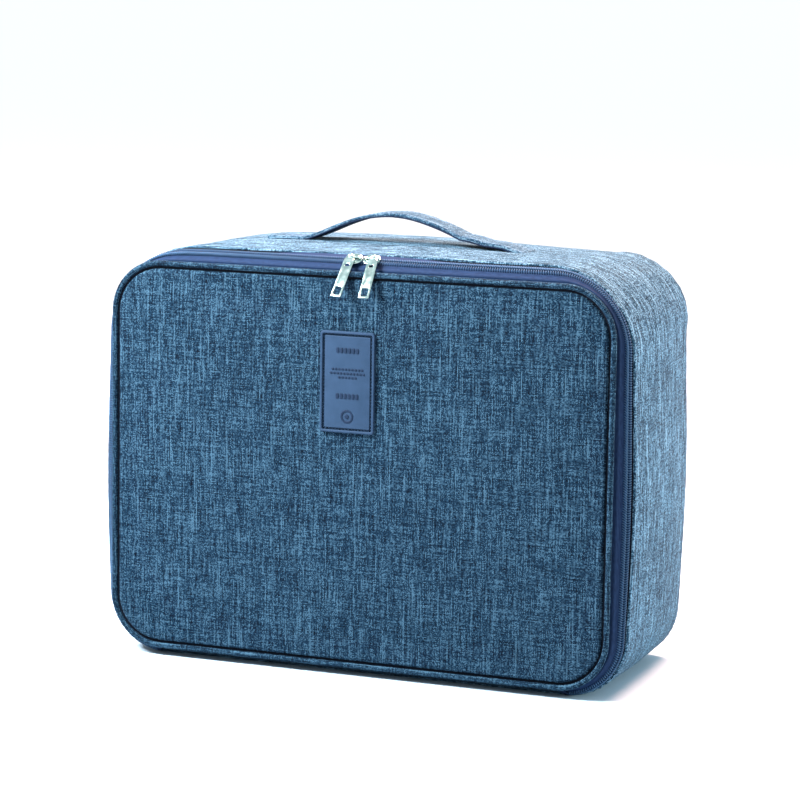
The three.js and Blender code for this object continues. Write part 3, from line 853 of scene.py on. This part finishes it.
def make_hinge_strip():
    stations = corner(2, 84, 90, 3) + edge(2, 4.0) + corner(3, 0, 6, 3)
    stops = [(0.5, -0.9), (1.8, -0.5), (3.4, -0.25), (6, -0.15), (10, -0.15), (14, -0.2),
             (SLOPE_LENGTH - 2, -0.3), (SLOPE_LENGTH - 0.2, -0.5)]

    @by_point
    def slack(point, k, _along):
        x, y, z = point
        return (x, y, z + 0.18 * wave(x, k * 3, 0, 16, 2.2)) if 0 < k < len(stops) - 1 else point

    strip = swept_band("hinge_fabric", tape_rows(stops, FABRIC), stations, FRONT_HEATHER, False, slack)
    hold(strip, "shell", "hinge_strip", slot="heather_fabric")


# ------------------------------------------------------------------ shell

BACK_ROLL = 10.0


def wall_rows(stops):
    """Rows of (rim, y) from stops of (distance out from the wall's outline, y)."""
    return [(wall_rim(y).grow(out), y) for out, y in stops]


def gusset_rows():
    """The gusset's section: tucked fold, outer face, back roll, then the inner face home again."""
    front, face_steps, roll_steps = BAND_DEPTH, 22, 7
    stops = [(-2.1, front + 3.0), (-2.1, front + 0.3), (-1.85, front - 0.8), (-1.3, front - 1.3),
             (-0.65, front - 1.2), (-0.1, front - 0.5), (0.15, front + 0.7), (-0.05, front + 2.1),
             (0.05, front + 3.4)]
    span = DEPTH - BACK_ROLL - front - 3.4
    for part in (i / face_steps for i in range(1, face_steps + 1)):
        stops.append((0.9 * math.sin(math.pi * part) ** 0.7, front + 3.4 + span * part))
    for turn in (math.pi / 2 * i / roll_steps for i in range(1, roll_steps + 1)):
        out = -BACK_ROLL * (1 - math.cos(turn))
        stops.append((out, DEPTH - BACK_ROLL + BACK_ROLL * math.sin(turn) - 0.4))
    stops += [(-BACK_ROLL - 0.8, DEPTH - 1.3), (-BACK_ROLL - 0.8, DEPTH - 2.2),
              (-BACK_ROLL + 2, DEPTH - 2.0), (-4.0, DEPTH - 5.5), (-1.4, DEPTH - 10)]
    stops += [(-1.0, DEPTH - 16 - (DEPTH - 16 - front - 6) * i / 4) for i in range(5)]
    return wall_rows(stops)


FOLD_ROW = 9  # the gusset's row just behind its folded edge, where the outline is read
INNER_ROWS = 9  # the last rows, inside the bag, which the wrinkles leave alone


def corner_share(x, z):
    """1 in the middle of a rounded corner, falling to 0 on the straights."""
    shares = []
    for index in range(4):
        centre, _ = corner_centre(FOLD, index)
        dx = (x - centre[0]) * (1 if index in (0, 3) else -1)
        dz = (z - centre[1]) * (1 if index < 2 else -1)
        if dx > -12 and dz > -12:
            turn = math.degrees(math.atan2(max(dz, 0), max(dx, 0.01)))
            shares.append(math.exp(-((turn - 45) / 38) ** 2))
    return max(shares, default=0)


def fold_back(x, z):
    """How far back the gusset's folded edge sits. At the top middle it is drawn back off the tape."""
    return 3.4 * math.exp(-((x + 5) / 72) ** 4) - 0.8 if z > FOLD.high - 5 else -0.8


def wrinkles(sections, u):
    """Slack in the cloth: broad waves, and puckers across the seam where it goes round a corner."""
    out = sections.copy()
    last, rows, _ = np.array(out.shape) - 1
    for i in range(last + 1):
        x, _, z = sections[i, FOLD_ROW]
        along = (sections[min(i + 1, last), FOLD_ROW] - sections[max(i - 1, 0), FOLD_ROW])[[0, 2]]
        normal = np.array([along[1], -along[0]]) / max(np.hypot(*along), 1e-6)
        near_corner = corner_share(x, z)
        for k in range(4, rows + 1 - INNER_ROWS):
            y = sections[i, k, 1]
            back, rear = y - BAND_DEPTH, DEPTH - y
            broad = 0.55 * wave(u[i], y, 0, 55, 7.7) + 0.28 * wave(u[i], y, 5, 21, 3.9)
            pucker = 0.28 * math.sin(u[i] * 2 * math.pi / 5.5 + 1.4 * wave(u[i], y, 0, 15))
            reach = math.exp(-max(back - 2, 0) / 9) + 0.6 * math.exp(-max(rear - 8, 0) / 8)
            lift = broad * min(1, max(back - 1, 0) / 12) + pucker * reach * (0.25 + near_corner)
            if z < 1.5 and normal[1] < -0.9:
                lift = min(lift, 0)
            out[i, k, 0] += normal[0] * lift
            out[i, k, 2] = max(out[i, k, 2] + normal[1] * lift, 0.0)
        for k in range(rows + 1):
            back = out[i, k, 1] - BAND_DEPTH
            out[i, k] = settle(out[i, k])
            out[i, k, 1] += fold_back(x, z) * clamp((16 - back) / 12) ** 1.5
    return out


def fill_with_air(piece, rows, loose, pressure=4.0, limit=0.9, frames=20):
    """Some frames of cloth under pressure. Only the loose rows of each station can move.

    The moved points are written back to the mesh, none by more than the limit in millimetres, and
    the cloth is taken off again.
    """
    mesh = piece.data
    held = piece.vertex_groups.new(name="held")
    held.add([v.index for v in mesh.vertices if v.index % rows not in loose], 1.0, "REPLACE")
    cloth = piece.modifiers.new("cloth", "CLOTH")
    cloth.settings.use_pressure = True
    cloth.settings.uniform_pressure_force = pressure
    cloth.settings.effector_weights.gravity = 0
    cloth.settings.vertex_group_mass = held.name
    cloth.point_cache.frame_start, cloth.point_cache.frame_end = 1, frames
    for number in range(1, frames + 1):
        SCENE.frame_set(number)
    moved = piece.evaluated_get(bpy.context.evaluated_depsgraph_get()).to_mesh()
    shifts = [after.co - before.co for after, before in zip(moved.vertices, mesh.vertices)]
    piece.modifiers.remove(cloth)
    piece.vertex_groups.remove(held)
    for vertex, shift in zip(mesh.vertices, shifts):
        vertex.co += shift * min(1, limit * MM / max(shift.length, 1e-9))
        vertex.co.z = max(vertex.co.z, 0)
    SCENE.frame_set(1)


def make_gusset():
    rows = gusset_rows()
    gusset = swept_band("gusset", rows, run_over_top(0.3, 89.7, 4.0, 24), GUSSET_HEATHER, False, wrinkles)
    fill_with_air(gusset, len(rows), range(10, 30))
    hold(gusset, "shell", "gusset_fabric", slot="gusset_heather")


def make_fold_shade():
    """A near-black strip under the gusset's folded front edge: painted shade below the fold."""
    front = BAND_DEPTH
    rows = wall_rows([(-2.7, front + 0.6), (-2.7, front - 1.0), (-2.1, front - 1.7), (-1.45, front - 1.55),
                      (-1.6, front - 0.6), (-1.9, front + 0.6)])

    def place(sections, u):
        out = settled(sections, u)
        for i, section in enumerate(sections):
            out[i, :, 1] += fold_back(section[0, 0], section[0, 2] + 3)
        return out

    shade_piece = swept_band("fold_painted_shade", rows, run_over_top(0.3, 89.7, 4.0, 24), PAINTED_SHADE, False, place)
    hold(shade_piece, "shell", slot="binding_tape")


def make_base():
    @by_point
    def flatten(point, _row, _along):
        return point[0], point[1], max(point[2], 0)

    base = swept_band("base_cloth", gusset_rows(), one_side(2), GUSSET_HEATHER, False, flatten)
    hold(base, "shell", "base_fabric", slot="gusset_heather")


def make_back_panel():
    tall = BACK.half_height()
    insets = [tall - 1, 112, 92, 74, 58, 45, 34, 26, 20, 16, 13.5, 12]
    stops = [(inset, DEPTH + 0.4 + 1.8 * (1 - math.exp(-(inset - 12) / 30))) for inset in insets]
    stops += [(11.0, DEPTH - 0.1), (10.4, DEPTH - 0.9), (10.8, DEPTH - 2.4), (tall - 1, DEPTH - 2.4)]

    @by_point
    def slack(point, k, _along):
        x, y, z = point
        if k < len(insets):
            y += min(1, (y - DEPTH) / 1.5) * (0.5 * wave(x, 0, z, 58, 9.1) + 0.2 * wave(x, 0, z, 22, 2.6))
        return settle((x, y, z))

    panel = lens("back_panel", inset_rows(BACK, stops), GUSSET_HEATHER, slack)
    hold(panel, "shell", "back_panel_fabric", slot="gusset_heather")


# ------------------------------------------------------------------ inside

def make_foam():
    """Foam boards round the shell and in its back, which follow the settled cloth."""
    outer, inner = 1.3, 4.7
    front, back = BAND_DEPTH + 6.5, DEPTH - 11
    rows = wall_rows([(-outer, front), (-outer, back), (-inner, back), (-inner, front)])
    for index, name in enumerate(("top", "left", "base", "right")):
        board = swept_band(f"{name}_foam", rows, one_side(index), FOAM, False, settled)
        hold(board, "shell", f"{name}_foam_board", slot="foam_sheet")
    front, back = DEPTH - 4.9, DEPTH - 2.7
    insets = (BACK.half_height() - 1, 90, 60, 35, 20, 10.5)
    stops = [(inset, back) for inset in insets] + [(inset, front) for inset in reversed(insets)]
    board = lens("back_foam", inset_rows(BACK, stops), FOAM, settled)
    hold(board, "shell", "back_foam_board", slot="foam_sheet")


def make_lid_lining():
    low, high = cad_box("lid_lining")
    insets = [PANEL.half_height() - 1, 110, 80, 55, 35, 20, 11, 6, 3.6]
    stops = [(inset, high[1]) for inset in insets] + [(3.5, low[1]), (insets[0], low[1])]

    @by_point
    def crease(point, k, _along):
        x, y, z = point
        if k >= len(insets):
            return point
        share = clamp((edge_distance(x, z) - 12) / 25)
        return x, y + share * 0.5 * (wave(x, 0, z, 45, 6.3) - 0.35), z

    lining = lens("lid_lining_cloth", inset_rows(PANEL, stops), LINING, crease)
    hold(lining, "lid", "lid_lining", slot="lining_cloth")


def make_gusset_lining():
    inset, thick, middle_z = 5.0, 0.5, 145
    depths = np.linspace(cad_box("gusset_lining")[0][1], DEPTH - 6.0, 14)
    rows = wall_rows([(-inset, y) for y in depths] + [(-inset - thick, y) for y in reversed(depths)])

    @by_point
    def slack(point, k, along):
        x, y, z = point
        if len(depths) < k < 2 * len(depths) - 1:
            pull = 0.45 * (wave(along, y, 0, 40, 8.8) + 0.6)
            inward = np.array([-x, middle_z - z])
            inward /= np.hypot(*inward)
            x, z = x + inward[0] * pull, z + inward[1] * pull
        return settle((x, y, z))

    lining = swept_band("gusset_lining_cloth", rows, all_round(), LINING, True, slack)
    hold(lining, "shell", "gusset_lining", slot="lining_cloth")


def make_back_lining():
    low, high = cad_box("back_lining")
    insets = [BACK.half_height() - 1, 105, 75, 50, 32, 20, 12, BACK.width / 2 - high[0]]
    stops = [(inset, low[1]) for inset in insets] + [(insets[-1], high[1]), (insets[0], high[1])]

    @by_point
    def slack(point, k, _along):
        x, y, z = point
        if k < len(insets) - 2:
            y -= 0.6 * (wave(x, 0, z, 50, 5.5) + 0.5)
        return settle((x, y, z))

    lining = lens("back_lining_cloth", inset_rows(BACK, stops), LINING, slack)
    hold(lining, "shell", "back_lining", slot="lining_cloth")


def make_bindings():
    """Rounded tapes over the seam allowances. The front one wraps round the rim of the opening."""
    for node, body, rim, outer, inner, shift in (
        ("lid_seam_binding", "lid", PANEL, 4, 12, None),
        ("back_seam_binding", "shell", BACK, 5.6, 15, settled),
    ):
        (_, front, _), (_, back, _) = cad_box(node)
        mid, deep = (outer + inner) / 2, back - front
        stops = [(outer, front + 0.3 * deep), (outer + 0.5, front), (mid, front - 0.15), (inner - 0.5, front),
                 (inner, front + 0.5 * deep), (inner - 0.5, back), (mid, back + 0.2), (outer + 0.5, back)]
        rows = inset_rows(rim, stops)
        ring = swept_band(node + "_tape", rows, all_round(4.0, 20), TAPE_DARK, True, shift)
        hold(ring, body, node, slot="binding_tape")
    (_, front, _), (_, back, _) = cad_box("front_seam_binding")
    stops = [(2.4, front + 1.4), (2.4, front - 0.3), (3.1, front - 1.0), (4.8, front - 1.2),
             (6.4, front - 1.0), (7.2, front), (6.95, (front + back) / 2), (7.25, back - 1),
             (6.85, back), (5.95, back - 0.3), (5.85, front + 1.0), (4.8, front + 1.2)]
    rows = wall_rows([(-inset, y) for inset, y in stops])
    ring = swept_band("front_seam_binding_tape", rows, all_round(4.0, 20), TAPE_DARK, True, settled)
    hold(ring, "shell", "front_seam_binding", slot="binding_tape")


POCKET_BULGE = 2.2
ELASTIC_GATHER = 1.02


def make_pocket_net():
    """A mesh pocket on the lid's lining, with its two lower corners rounded."""
    low, high = cad_box("lid_mesh_pocket")
    columns, lines, radius = 56, 28, 20
    half, bottom = high[0], low[2]
    vertices = []
    for t in (r / lines for r in range(lines + 1)):
        for s in (c / columns for c in range(columns + 1)):
            x, z = -half + 2 * half * s, bottom + (high[2] - bottom) * t
            over_x, over_z = abs(x) - (half - radius), bottom + radius - z
            if over_x > 0 and over_z > 0 and math.hypot(over_x, over_z) > radius:
                scale = radius / math.hypot(over_x, over_z)
                x = math.copysign(half - radius + over_x * scale, x)
                z = bottom + radius - over_z * scale
            gather = 0.55 * t * t * math.sin(x * 2 * math.pi / 13 + 1.2 * wave(x, 0, z, 30))
            bulge = POCKET_BULGE * math.sin(math.pi * s) * t
            vertices.append((x, low[1] + 0.1 + bulge + abs(gather), z))
    across = columns + 1
    faces = [(a, a + 1, a + across + 1, a + across)
             for r in range(lines) for a in range(r * across, r * across + columns)]
    uvs = [(vertices[v][0], vertices[v][2]) for face in faces for v in face]
    net = build_mesh("mesh_pocket", vertices, faces, MESH, uvs, closed=False)
    hold(net, "lid", "lid_mesh_pocket", slot="pocket_mesh")
    return net, (2 * half * MM * ELASTIC_GATHER, (high[2] - bottom) * MM)


def make_pocket():
    """The pocket is drawn in a little by the elastic along its top edge."""
    net, flat = make_pocket_net()
    low, high = cad_box("pocket_edge_binding")
    bottom, top = low[2], high[2]
    middle, steps = (bottom + top) / 2, 80
    sections = []
    for s in (i / steps for i in range(steps + 1)):
        x = low[0] + (high[0] - low[0]) * s
        y = low[1] + POCKET_BULGE * math.sin(math.pi * s) + 0.25 * math.sin(x * 2 * math.pi / 9)
        sections.append([(x, y + out, z) for out, z in (
            (0, bottom), (-0.2, middle), (0, top), (1.3, top - 0.3), (1.6, middle), (1.3, bottom + 0.3))])
    sections = np.array(sections)
    v = arc_lengths(sections[0][:, 1:], True)
    hem = sweep("pocket_elastic", sections, TAPE_DARK, sections[:, 0, 0], v)
    hold(hem, "lid", "pocket_edge_binding", slot="binding_tape")


# ------------------------------------------------------------------ shapes cut from plate

def circle(radius, count=40):
    turns = np.linspace(0, 2 * math.pi, count, endpoint=False)
    return [(radius * math.cos(t), radius * math.sin(t)) for t in turns]


def rounded_loop(x0, x1, z0, z1, radius, steps=6):
    points = []
    for cx, cz, start in ((x1 - radius, z1 - radius, 0), (x0 + radius, z1 - radius, 90),
                          (x0 + radius, z0 + radius, 180), (x1 - radius, z0 + radius, 270)):
        for i in range(steps + 1):
            turn = math.radians(start + 90 * i / steps)
            points.append((cx + radius * math.cos(turn), cz + radius * math.sin(turn)))
    return points


def plate_mesh(loops, thickness, bevel, bevel_steps=3, rise=0.0):
    """Vertices and faces of a plate with rounded edges, drawn in x and y with its middle at z = rise."""
    curve = bpy.data.curves.new("plate", "CURVE")
    curve.dimensions, curve.fill_mode = "2D", "BOTH"
    curve.extrude = thickness / 2 - bevel
    curve.bevel_depth, curve.bevel_resolution = bevel, bevel_steps
    curve.offset = -bevel
    for loop in loops:
        spline = curve.splines.new("POLY")
        spline.points.add(len(loop) - 1)
        for point, (x, y) in zip(spline.points, loop):
            point.co = (x, y, 0, 1)
        spline.use_cyclic_u = True
    holder = bpy.data.objects.new("plate", curve)
    SCENE.collection.objects.link(holder)
    mesh = bpy.data.meshes.new_from_object(holder.evaluated_get(bpy.context.evaluated_depsgraph_get()))
    cage = bmesh.new()
    cage.from_mesh(mesh)
    bmesh.ops.remove_doubles(cage, verts=cage.verts, dist=1e-4)
    bmesh.ops.recalc_face_normals(cage, faces=cage.faces)
    vertices = np.array([v.co[:] for v in cage.verts]) + [0, 0, rise]
    faces = [[v.index for v in face.verts] for face in cage.faces]
    cage.free()
    bpy.data.objects.remove(holder)
    bpy.data.curves.remove(curve)
    bpy.data.meshes.remove(mesh)
    return vertices, faces


def joined(parts):
    """Puts several (vertices, faces) lists into one."""
    vertices, faces, start = [], [], 0
    for points, polygons in parts:
        vertices.append(np.asarray(points, float))
        faces += [[start + v for v in polygon] for polygon in polygons]
        start += len(points)
    return np.vstack(vertices), faces


def tube(path, sides, radius_x, radius_y, beside=(0, 1, 0)):
    """A closed tube of elliptical section along a path of points."""
    path, beside = np.asarray(path, float), np.asarray(beside, float)
    vertices = []
    for i, point in enumerate(path):
        ahead = path[min(i + 1, len(path) - 1)] - path[max(i - 1, 0)]
        ahead /= np.linalg.norm(ahead)
        up = np.cross(ahead, beside)
        up /= np.linalg.norm(up)
        for turn in (2 * math.pi * s / sides for s in range(sides)):
            vertices.append(point + radius_x * math.cos(turn) * beside + radius_y * math.sin(turn) * up)
    return vertices, capped(len(path), sides)


# ------------------------------------------------------------------ sliders and pulls

SLIDER_HALF_WIDTH = 4.6
PULL_LEAN = 38.4
PULL_TILTS = {"left": 4.5, "right": -2.0}
PULL_LENGTH, PULL_WIDTH = 33.0, 7.6


def from_band(points, x):
    """From the band's own frame (x along, y up the slope, z off it) at an x, to the bag's."""
    points = np.asarray(points, float)
    c, s = math.cos(SLOPE), math.sin(SLOPE)
    share = COIL_CENTRE / SLOPE_LENGTH
    y = points[:, 1] * c - points[:, 2] * s + BAND_DEPTH * share
    z = points[:, 1] * s + points[:, 2] * c + PANEL.high + (FOLD.high - PANEL.high) * share
    return np.column_stack([points[:, 0] + x, y, z])


def make_slider(side, post_side):
    """A slider: top plate with a raised rib, lower plate, the post between them and the bail."""
    low, high = cad_box(f"slider_body_{side}")
    centre, half = (low[0] + high[0]) / 2, (high[0] - low[0]) / 2
    width = SLIDER_HALF_WIDTH
    nose = [(half * x, width * math.copysign(abs(y) ** 0.8, y)) for x, y in circle(1)]
    post, post_faces = plate_mesh([rounded_loop(-3.5, 0.5, -0.3, 0.3, 0.25, 2)], 3.2, 0.05, 1)
    vertices, faces = joined([
        plate_mesh([nose], 1.5, 0.45, rise=2.0),
        plate_mesh([[(x * 0.62, y * 0.55) for x, y in nose]], 0.7, 0.25, rise=2.9),
        plate_mesh([rounded_loop(1 - half, half - 1, 0.9 - width, 0.3, 0.5, 3)], 1.1, 0.2, 2, -1.9),
        (post * [post_side, 1, 1], post_faces),
    ])
    body = build_mesh(f"zip_slider_{side}", from_band(vertices, centre), faces, METAL)
    hold(body, f"slider_{side}", f"slider_body_{side}", slot="plated_metal")

    reach, foot, peak, steps = 5.2, 2.2, 4.6, 24
    path = []
    for turn in (math.pi * i / steps for i in range(steps + 1)):
        x = -reach * math.copysign(abs(math.cos(turn)) ** 0.55, math.cos(turn))
        path.append((x, 0, foot + (peak - foot) * abs(math.sin(turn)) ** 0.45))
    arch, faces = tube(path, 12, 1.0, 0.5)
    bail = build_mesh(f"zip_bail_{side}", from_band(arch, centre), faces, METAL)
    hold(bail, f"slider_{side}", f"slider_bail_{side}", slot="plated_metal")


def make_pull(side):
    """A blade with a window and a slot, and the rolled top that turns on the bail."""
    joint = next(j for j in frame["joints"] if j["name"] == f"pull_{side}_swing")
    pivot = np.array(joint["pos_m"]) / MM - [0, PLANE_Y, 0]
    half, top, tip = PULL_WIDTH / 2, -0.9, -PULL_LENGTH
    right = [(2.0, top), (half - 0.3, top - 1.5), (half, top - 2.2), (half, tip + 0.5), (half - 0.5, tip)]
    outer = right + [(-x, z) for x, z in reversed(right)]
    window = rounded_loop(-2.3, 2.3, tip + 1.7, tip + 8.0, 0.3, 3)
    slot_hole = rounded_loop(-1.4, 1.4, -8.2, -6.3, 0.3, 3)
    blade, blade_faces = plate_mesh([outer, window, slot_hole], 1.2, 0.28)
    blade = blade[:, [0, 2, 1]] * [1, -1, 1]
    profile = [(-2.0, 1.45), (-1.85, 1.65), (1.85, 1.65), (2.0, 1.45), (2.0, 1.0), (-2.0, 1.0)]
    steps = 20
    turns = [2 * math.pi * i / steps for i in range(steps)]
    roll = [(x, r * math.cos(turn), r * math.sin(turn)) for turn in turns for x, r in profile]
    vertices, faces = joined([(blade, blade_faces), (roll, skin(steps, len(profile), True))])
    turned = (Matrix.Rotation(-math.radians(PULL_LEAN), 3, "X")
              @ Matrix.Rotation(math.radians(PULL_TILTS[side]), 3, "Y"))
    pull = build_mesh(f"zip_pull_{side}", vertices @ np.array(turned).T + pivot, faces, METAL)
    hold(pull, f"pull_{side}", f"pull_tab_{side}", slot="plated_metal")


# ------------------------------------------------------------------ patch

PATCH_LOW, PATCH_HIGH = cad_box("label_patch")
PATCH_X, _, PATCH_Z = (PATCH_LOW + PATCH_HIGH) / 2
PATCH_HALF_X, _, PATCH_HALF_Z = (PATCH_HIGH - PATCH_LOW) / 2
PATCH_FACE = FRONT_FACE - 3.3
PATCH_FIELD = PATCH_FACE + 0.6


def patch_plate(loops, thickness, bevel, front):
    """A plate on the lid, its loops drawn from the patch's middle."""
    points, faces = plate_mesh(loops, thickness, bevel)
    return points[:, [0, 2, 1]] * [1, -1, 1] + [PATCH_X, front + thickness / 2, PATCH_Z], faces


def patch_loop(inset, radius, steps=5):
    x, z = PATCH_HALF_X - inset, PATCH_HALF_Z - inset
    return rounded_loop(-x, x, -z, z, radius, steps)


def row_of_blocks(z, count, width, height, gap):
    start = -(count * width + (count - 1) * gap) / 2
    lefts = [start + i * (width + gap) for i in range(count)]
    return [[rounded_loop(left, left + width, z - height / 2, z + height / 2, 0.35, 2)] for left in lefts]


def make_patch():
    """A moulded rubber patch: a raised rim, a stitched groove and plain raised marks."""
    vertices, faces = joined([
        patch_plate([patch_loop(0, 2.2)], 1.4, 0.35, PATCH_FIELD + 1.2),
        patch_plate([patch_loop(0, 2.2), patch_loop(1.8, 1.2)], 2.2, 0.62, PATCH_FACE),
        patch_plate([patch_loop(3.2, 0.8)], 1.6, 0.35, PATCH_FIELD),
    ])
    hold(build_mesh("rubber_patch", vertices, faces, RUBBER), "lid", "label_patch", slot="patch_rubber")

    blocks = []
    for z, count, width, height, gap in (
        (22.0, 6, 2.0, 3.4, 0.9), (-9.5, 6, 2.0, 3.4, 0.9),
        (9.0, 10, 1.7, 1.25, 0.7), (6.2, 11, 1.7, 1.25, 0.7), (3.4, 6, 1.7, 1.25, 0.7),
    ):
        blocks += row_of_blocks(z, count, width, height, gap)
    ring_drop, mark_thickness, mark_front = 23.5, 0.9, PATCH_FIELD - 0.45
    ring, hole, dot = ([(x, z - ring_drop) for x, z in circle(radius)] for radius in (4.6, 3.3, 1.5))
    marks = [patch_plate(block, mark_thickness, 0.2, mark_front) for block in blocks]
    marks += [patch_plate(loops, mark_thickness, 0.25, mark_front) for loops in ([ring, hole], [dot])]
    # The marks take the darker rubber: painted shade for their relief.
    raised = build_mesh("patch_marks", *joined(marks), RUBBER_MARKS)
    hold(raised, "lid", slot="patch_rubber")

    run = patch_loop(2.5, 1.0, 3)
    path = np.array(run + run[:1])
    lengths = arc_lengths(path)
    pitch, long, dip = 2.4, 1.5, 0.3
    stitches = []
    for start in (i * pitch for i in range(int(lengths[-1] / pitch))):
        ends = []
        for distance, depth in ((start, dip), (start + long / 2, 0.0), (start + long, dip)):
            x, z = (np.interp(distance, lengths, path[:, c]) for c in (0, 1))
            ends.append((x + PATCH_X, PATCH_FIELD + 0.75 + depth, z + PATCH_Z))
        stitches.append(stitch_tube(ends, 0.34, (0, 1, 0)))
    thread = build_mesh("patch_stitches", *joined(stitches), RUBBER)
    hold(thread, "lid", slot="patch_rubber")


def stitch_tube(ends, radius, surface_normal):
    """A round stitch along some points, its section set square to the surface."""
    beside = np.cross(np.array(ends[-1]) - np.array(ends[0]), surface_normal)
    return tube(ends, 6, radius, radius, beside / np.linalg.norm(beside))


# ------------------------------------------------------------------ handle

STRAP_LOW, STRAP_HIGH = cad_box("handle_sleeve")
STRAP_END_LOW, STRAP_END_HIGH = cad_box("handle_end_right")
STRAP_HALF_SPAN = 70
STRAP_THICKNESS = 2.7
STRAP_HALF_WIDTH = (STRAP_HIGH[1] - STRAP_LOW[1]) / 2
STRAP_Y = (STRAP_HIGH[1] + STRAP_LOW[1]) / 2
STRAP_SEAT = STRAP_END_LOW[2] + STRAP_THICKNESS / 2
STRAP_RISE = STRAP_HIGH[2] - STRAP_THICKNESS / 2 - STRAP_SEAT
STRAP_HALF_LENGTH = STRAP_END_HIGH[0]
STRAP_HALF_MOVING = STRAP_HIGH[0]
STITCH_LINE = STRAP_HALF_WIDTH - 2.4


def strap_height(x):
    """The middle of the strap: an arch that peaks left of the middle, and ends sewn to the crowned top.

    The right end comes down slowly and is pulled flat into the padding. The left one stays proud.
    """
    middle = x + 3 * max(0, 1 - (x / 90) ** 2)
    reach = min(1, abs(middle) / STRAP_HALF_SPAN)
    seat = STRAP_SEAT + crown(x, STRAP_Y, STRAP_SEAT) * reach ** 2
    eased = 2.8 * math.sin(math.pi * clamp((x - 50) / 45) ** 0.7)
    return seat + STRAP_RISE * (1 - reach * reach) ** 1.5 + eased - ease((x - 78) / 15, 1.7)


def strap_thickness(x):
    """The left end is folded under, which thickens it, and both tips are round."""
    from_tip = STRAP_HALF_LENGTH - abs(x)
    fold = 0.42 * math.exp(-((from_tip - 4) / 4) ** 2) if x < 0 else 0.1
    tip = math.sqrt(max(0.04, 1 - max(0, 1 - from_tip / 2.2) ** 2))
    return STRAP_THICKNESS * (1 + fold) * tip


def strap_run(name, xs, shape, spine, material):
    """A section carried along the strap. shape is (distance across, share of half the thickness up)."""
    sections = []
    for x in xs:
        tilt = math.atan(strap_height(x + 0.5) - strap_height(x - 0.5))
        height = strap_height(x) + 0.22 * wave(x, 0, 0, 18, 3.3)
        t = strap_thickness(x) / 2
        sections.append([(x - up * t * math.sin(tilt), STRAP_Y + across, height + up * t * math.cos(tilt))
                         for across, up in shape])
    sections = np.array(sections)
    u = arc_lengths(sections[:, spine][:, [0, 2]])
    return sweep(name, sections, material, u, arc_lengths(sections[0][:, 1:], True))


def make_handle():
    """Each half is a folded sleeve, its stitches, and the webbing that shows along its lower edges."""
    half = STRAP_HALF_WIDTH
    upper_right = [(0, 1.05), (half - 4, 0.95), (half - 2.4, 0.82), (half - 1.2, 1), (half - 0.25, 0.75),
                   (half, 0), (half - 0.2, -0.55)]
    lower_right = [(half - 1.5, -1), (half - 4, -0.9), (0, -1)]
    upper_left = [(-across, up) for across, up in reversed(upper_right[1:])]
    sleeve = upper_left + upper_right + lower_right + [(4 - half, -0.9), (1.5 - half, -1)]
    wide = half + 0.15
    web = [(-wide, -0.4), (wide, -0.4), (wide, -1.0), (wide - 0.5, -1.15), (0.5 - wide, -1.15), (-wide, -1.0)]
    for side, sign in (("right", 1), ("left", -1)):
        ends = [(sign * (STRAP_HALF_MOVING + by), 0, 0) for by in (10, -10)]
        xs = [sign * x for x in np.linspace(0.0, STRAP_HALF_LENGTH - 2.4, 60)]
        xs += [sign * (STRAP_HALF_LENGTH - tip) for tip in (1.7, 1.1, 0.6, 0.3, 0.1)]
        strap = strap_run(f"strap_{side}", xs, sleeve, 6, STRAP_HEATHER)
        bend(strap, "shell", "handle", *ends, f"handle_end_{side}", slot="heather_fabric")
        bend(strap_stitches(side, sign), "shell", "handle", *ends, slot="heather_fabric")
        xs = np.linspace(0.0, STRAP_HALF_LENGTH - 3.5, 56) * sign
        webbing = strap_run(f"webbing_{side}", xs, web, 0, TAPE_DARK)
        bend(webbing, "shell", "handle", *ends, slot="zipper_tape")
    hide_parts("handle_sleeve")
    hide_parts("handle_webbing")


def strap_stitches(side, sign):
    """Two rows of stitches along the strap, and a box of them with a cross on its sewn end."""
    pitch, long, cross_count = 3.2, 2.4, 7
    parts = []

    def stitch(x0, y0, x1, y1):
        ends = []
        for s, dip in ((0, 0.35), (0.25, 0.0), (0.75, 0.0), (1, 0.35)):
            x, y = sign * (x0 + (x1 - x0) * s), y0 + (y1 - y0) * s
            ends.append((x, STRAP_Y + y, strap_height(x) + 0.43 * STRAP_THICKNESS + 0.1 - dip))
        parts.append(stitch_tube(ends, 0.24, (0, 0, 1.0)))

    for x in np.arange(1.0, STRAP_HALF_LENGTH - 4, pitch):
        for y in (-STITCH_LINE, STITCH_LINE):
            stitch(x, y, x + long, y)
    box_start, box_end = STRAP_HALF_LENGTH - 24, STRAP_HALF_LENGTH - 3
    for x in (box_start, box_end):
        for y in np.arange(0.4 - STITCH_LINE, STITCH_LINE - long, pitch):
            stitch(x, y, x, y + long)
    for i in range(cross_count):
        s0, s1 = i / cross_count, (i + 0.78) / cross_count
        x0, x1 = (box_start + (box_end - box_start) * s for s in (s0, s1))
        for flip in (STITCH_LINE, -STITCH_LINE):
            stitch(x0, flip * (2 * s0 - 1), x1, flip * (2 * s1 - 1))
    return build_mesh(f"strap_stitches_{side}", *joined(parts), THREAD)


# ------------------------------------------------------------------ the scene

def finish_cad_nodes():
    """The lid's foam board is the one CAD node that stays."""
    board = frame["nodes"]["lid_foam_board"]
    board.data.materials.clear()
    board.data.materials.append(FOAM)


aim_camera()
light_scene()
lay_floor()
make_front_panel()
make_piping()
make_groove_shade()
make_tapes()
make_coils()
make_end_tabs()
make_hinge_strip()
make_gusset()
make_fold_shade()
make_base()
make_back_panel()
make_foam()
make_lid_lining()
make_gusset_lining()
make_back_lining()
make_bindings()
make_pocket()
for slider_side, slider_post in (("left", -1), ("right", 1)):
    make_slider(slider_side, slider_post)
    make_pull(slider_side)
make_patch()
make_handle()
finish_cad_nodes()
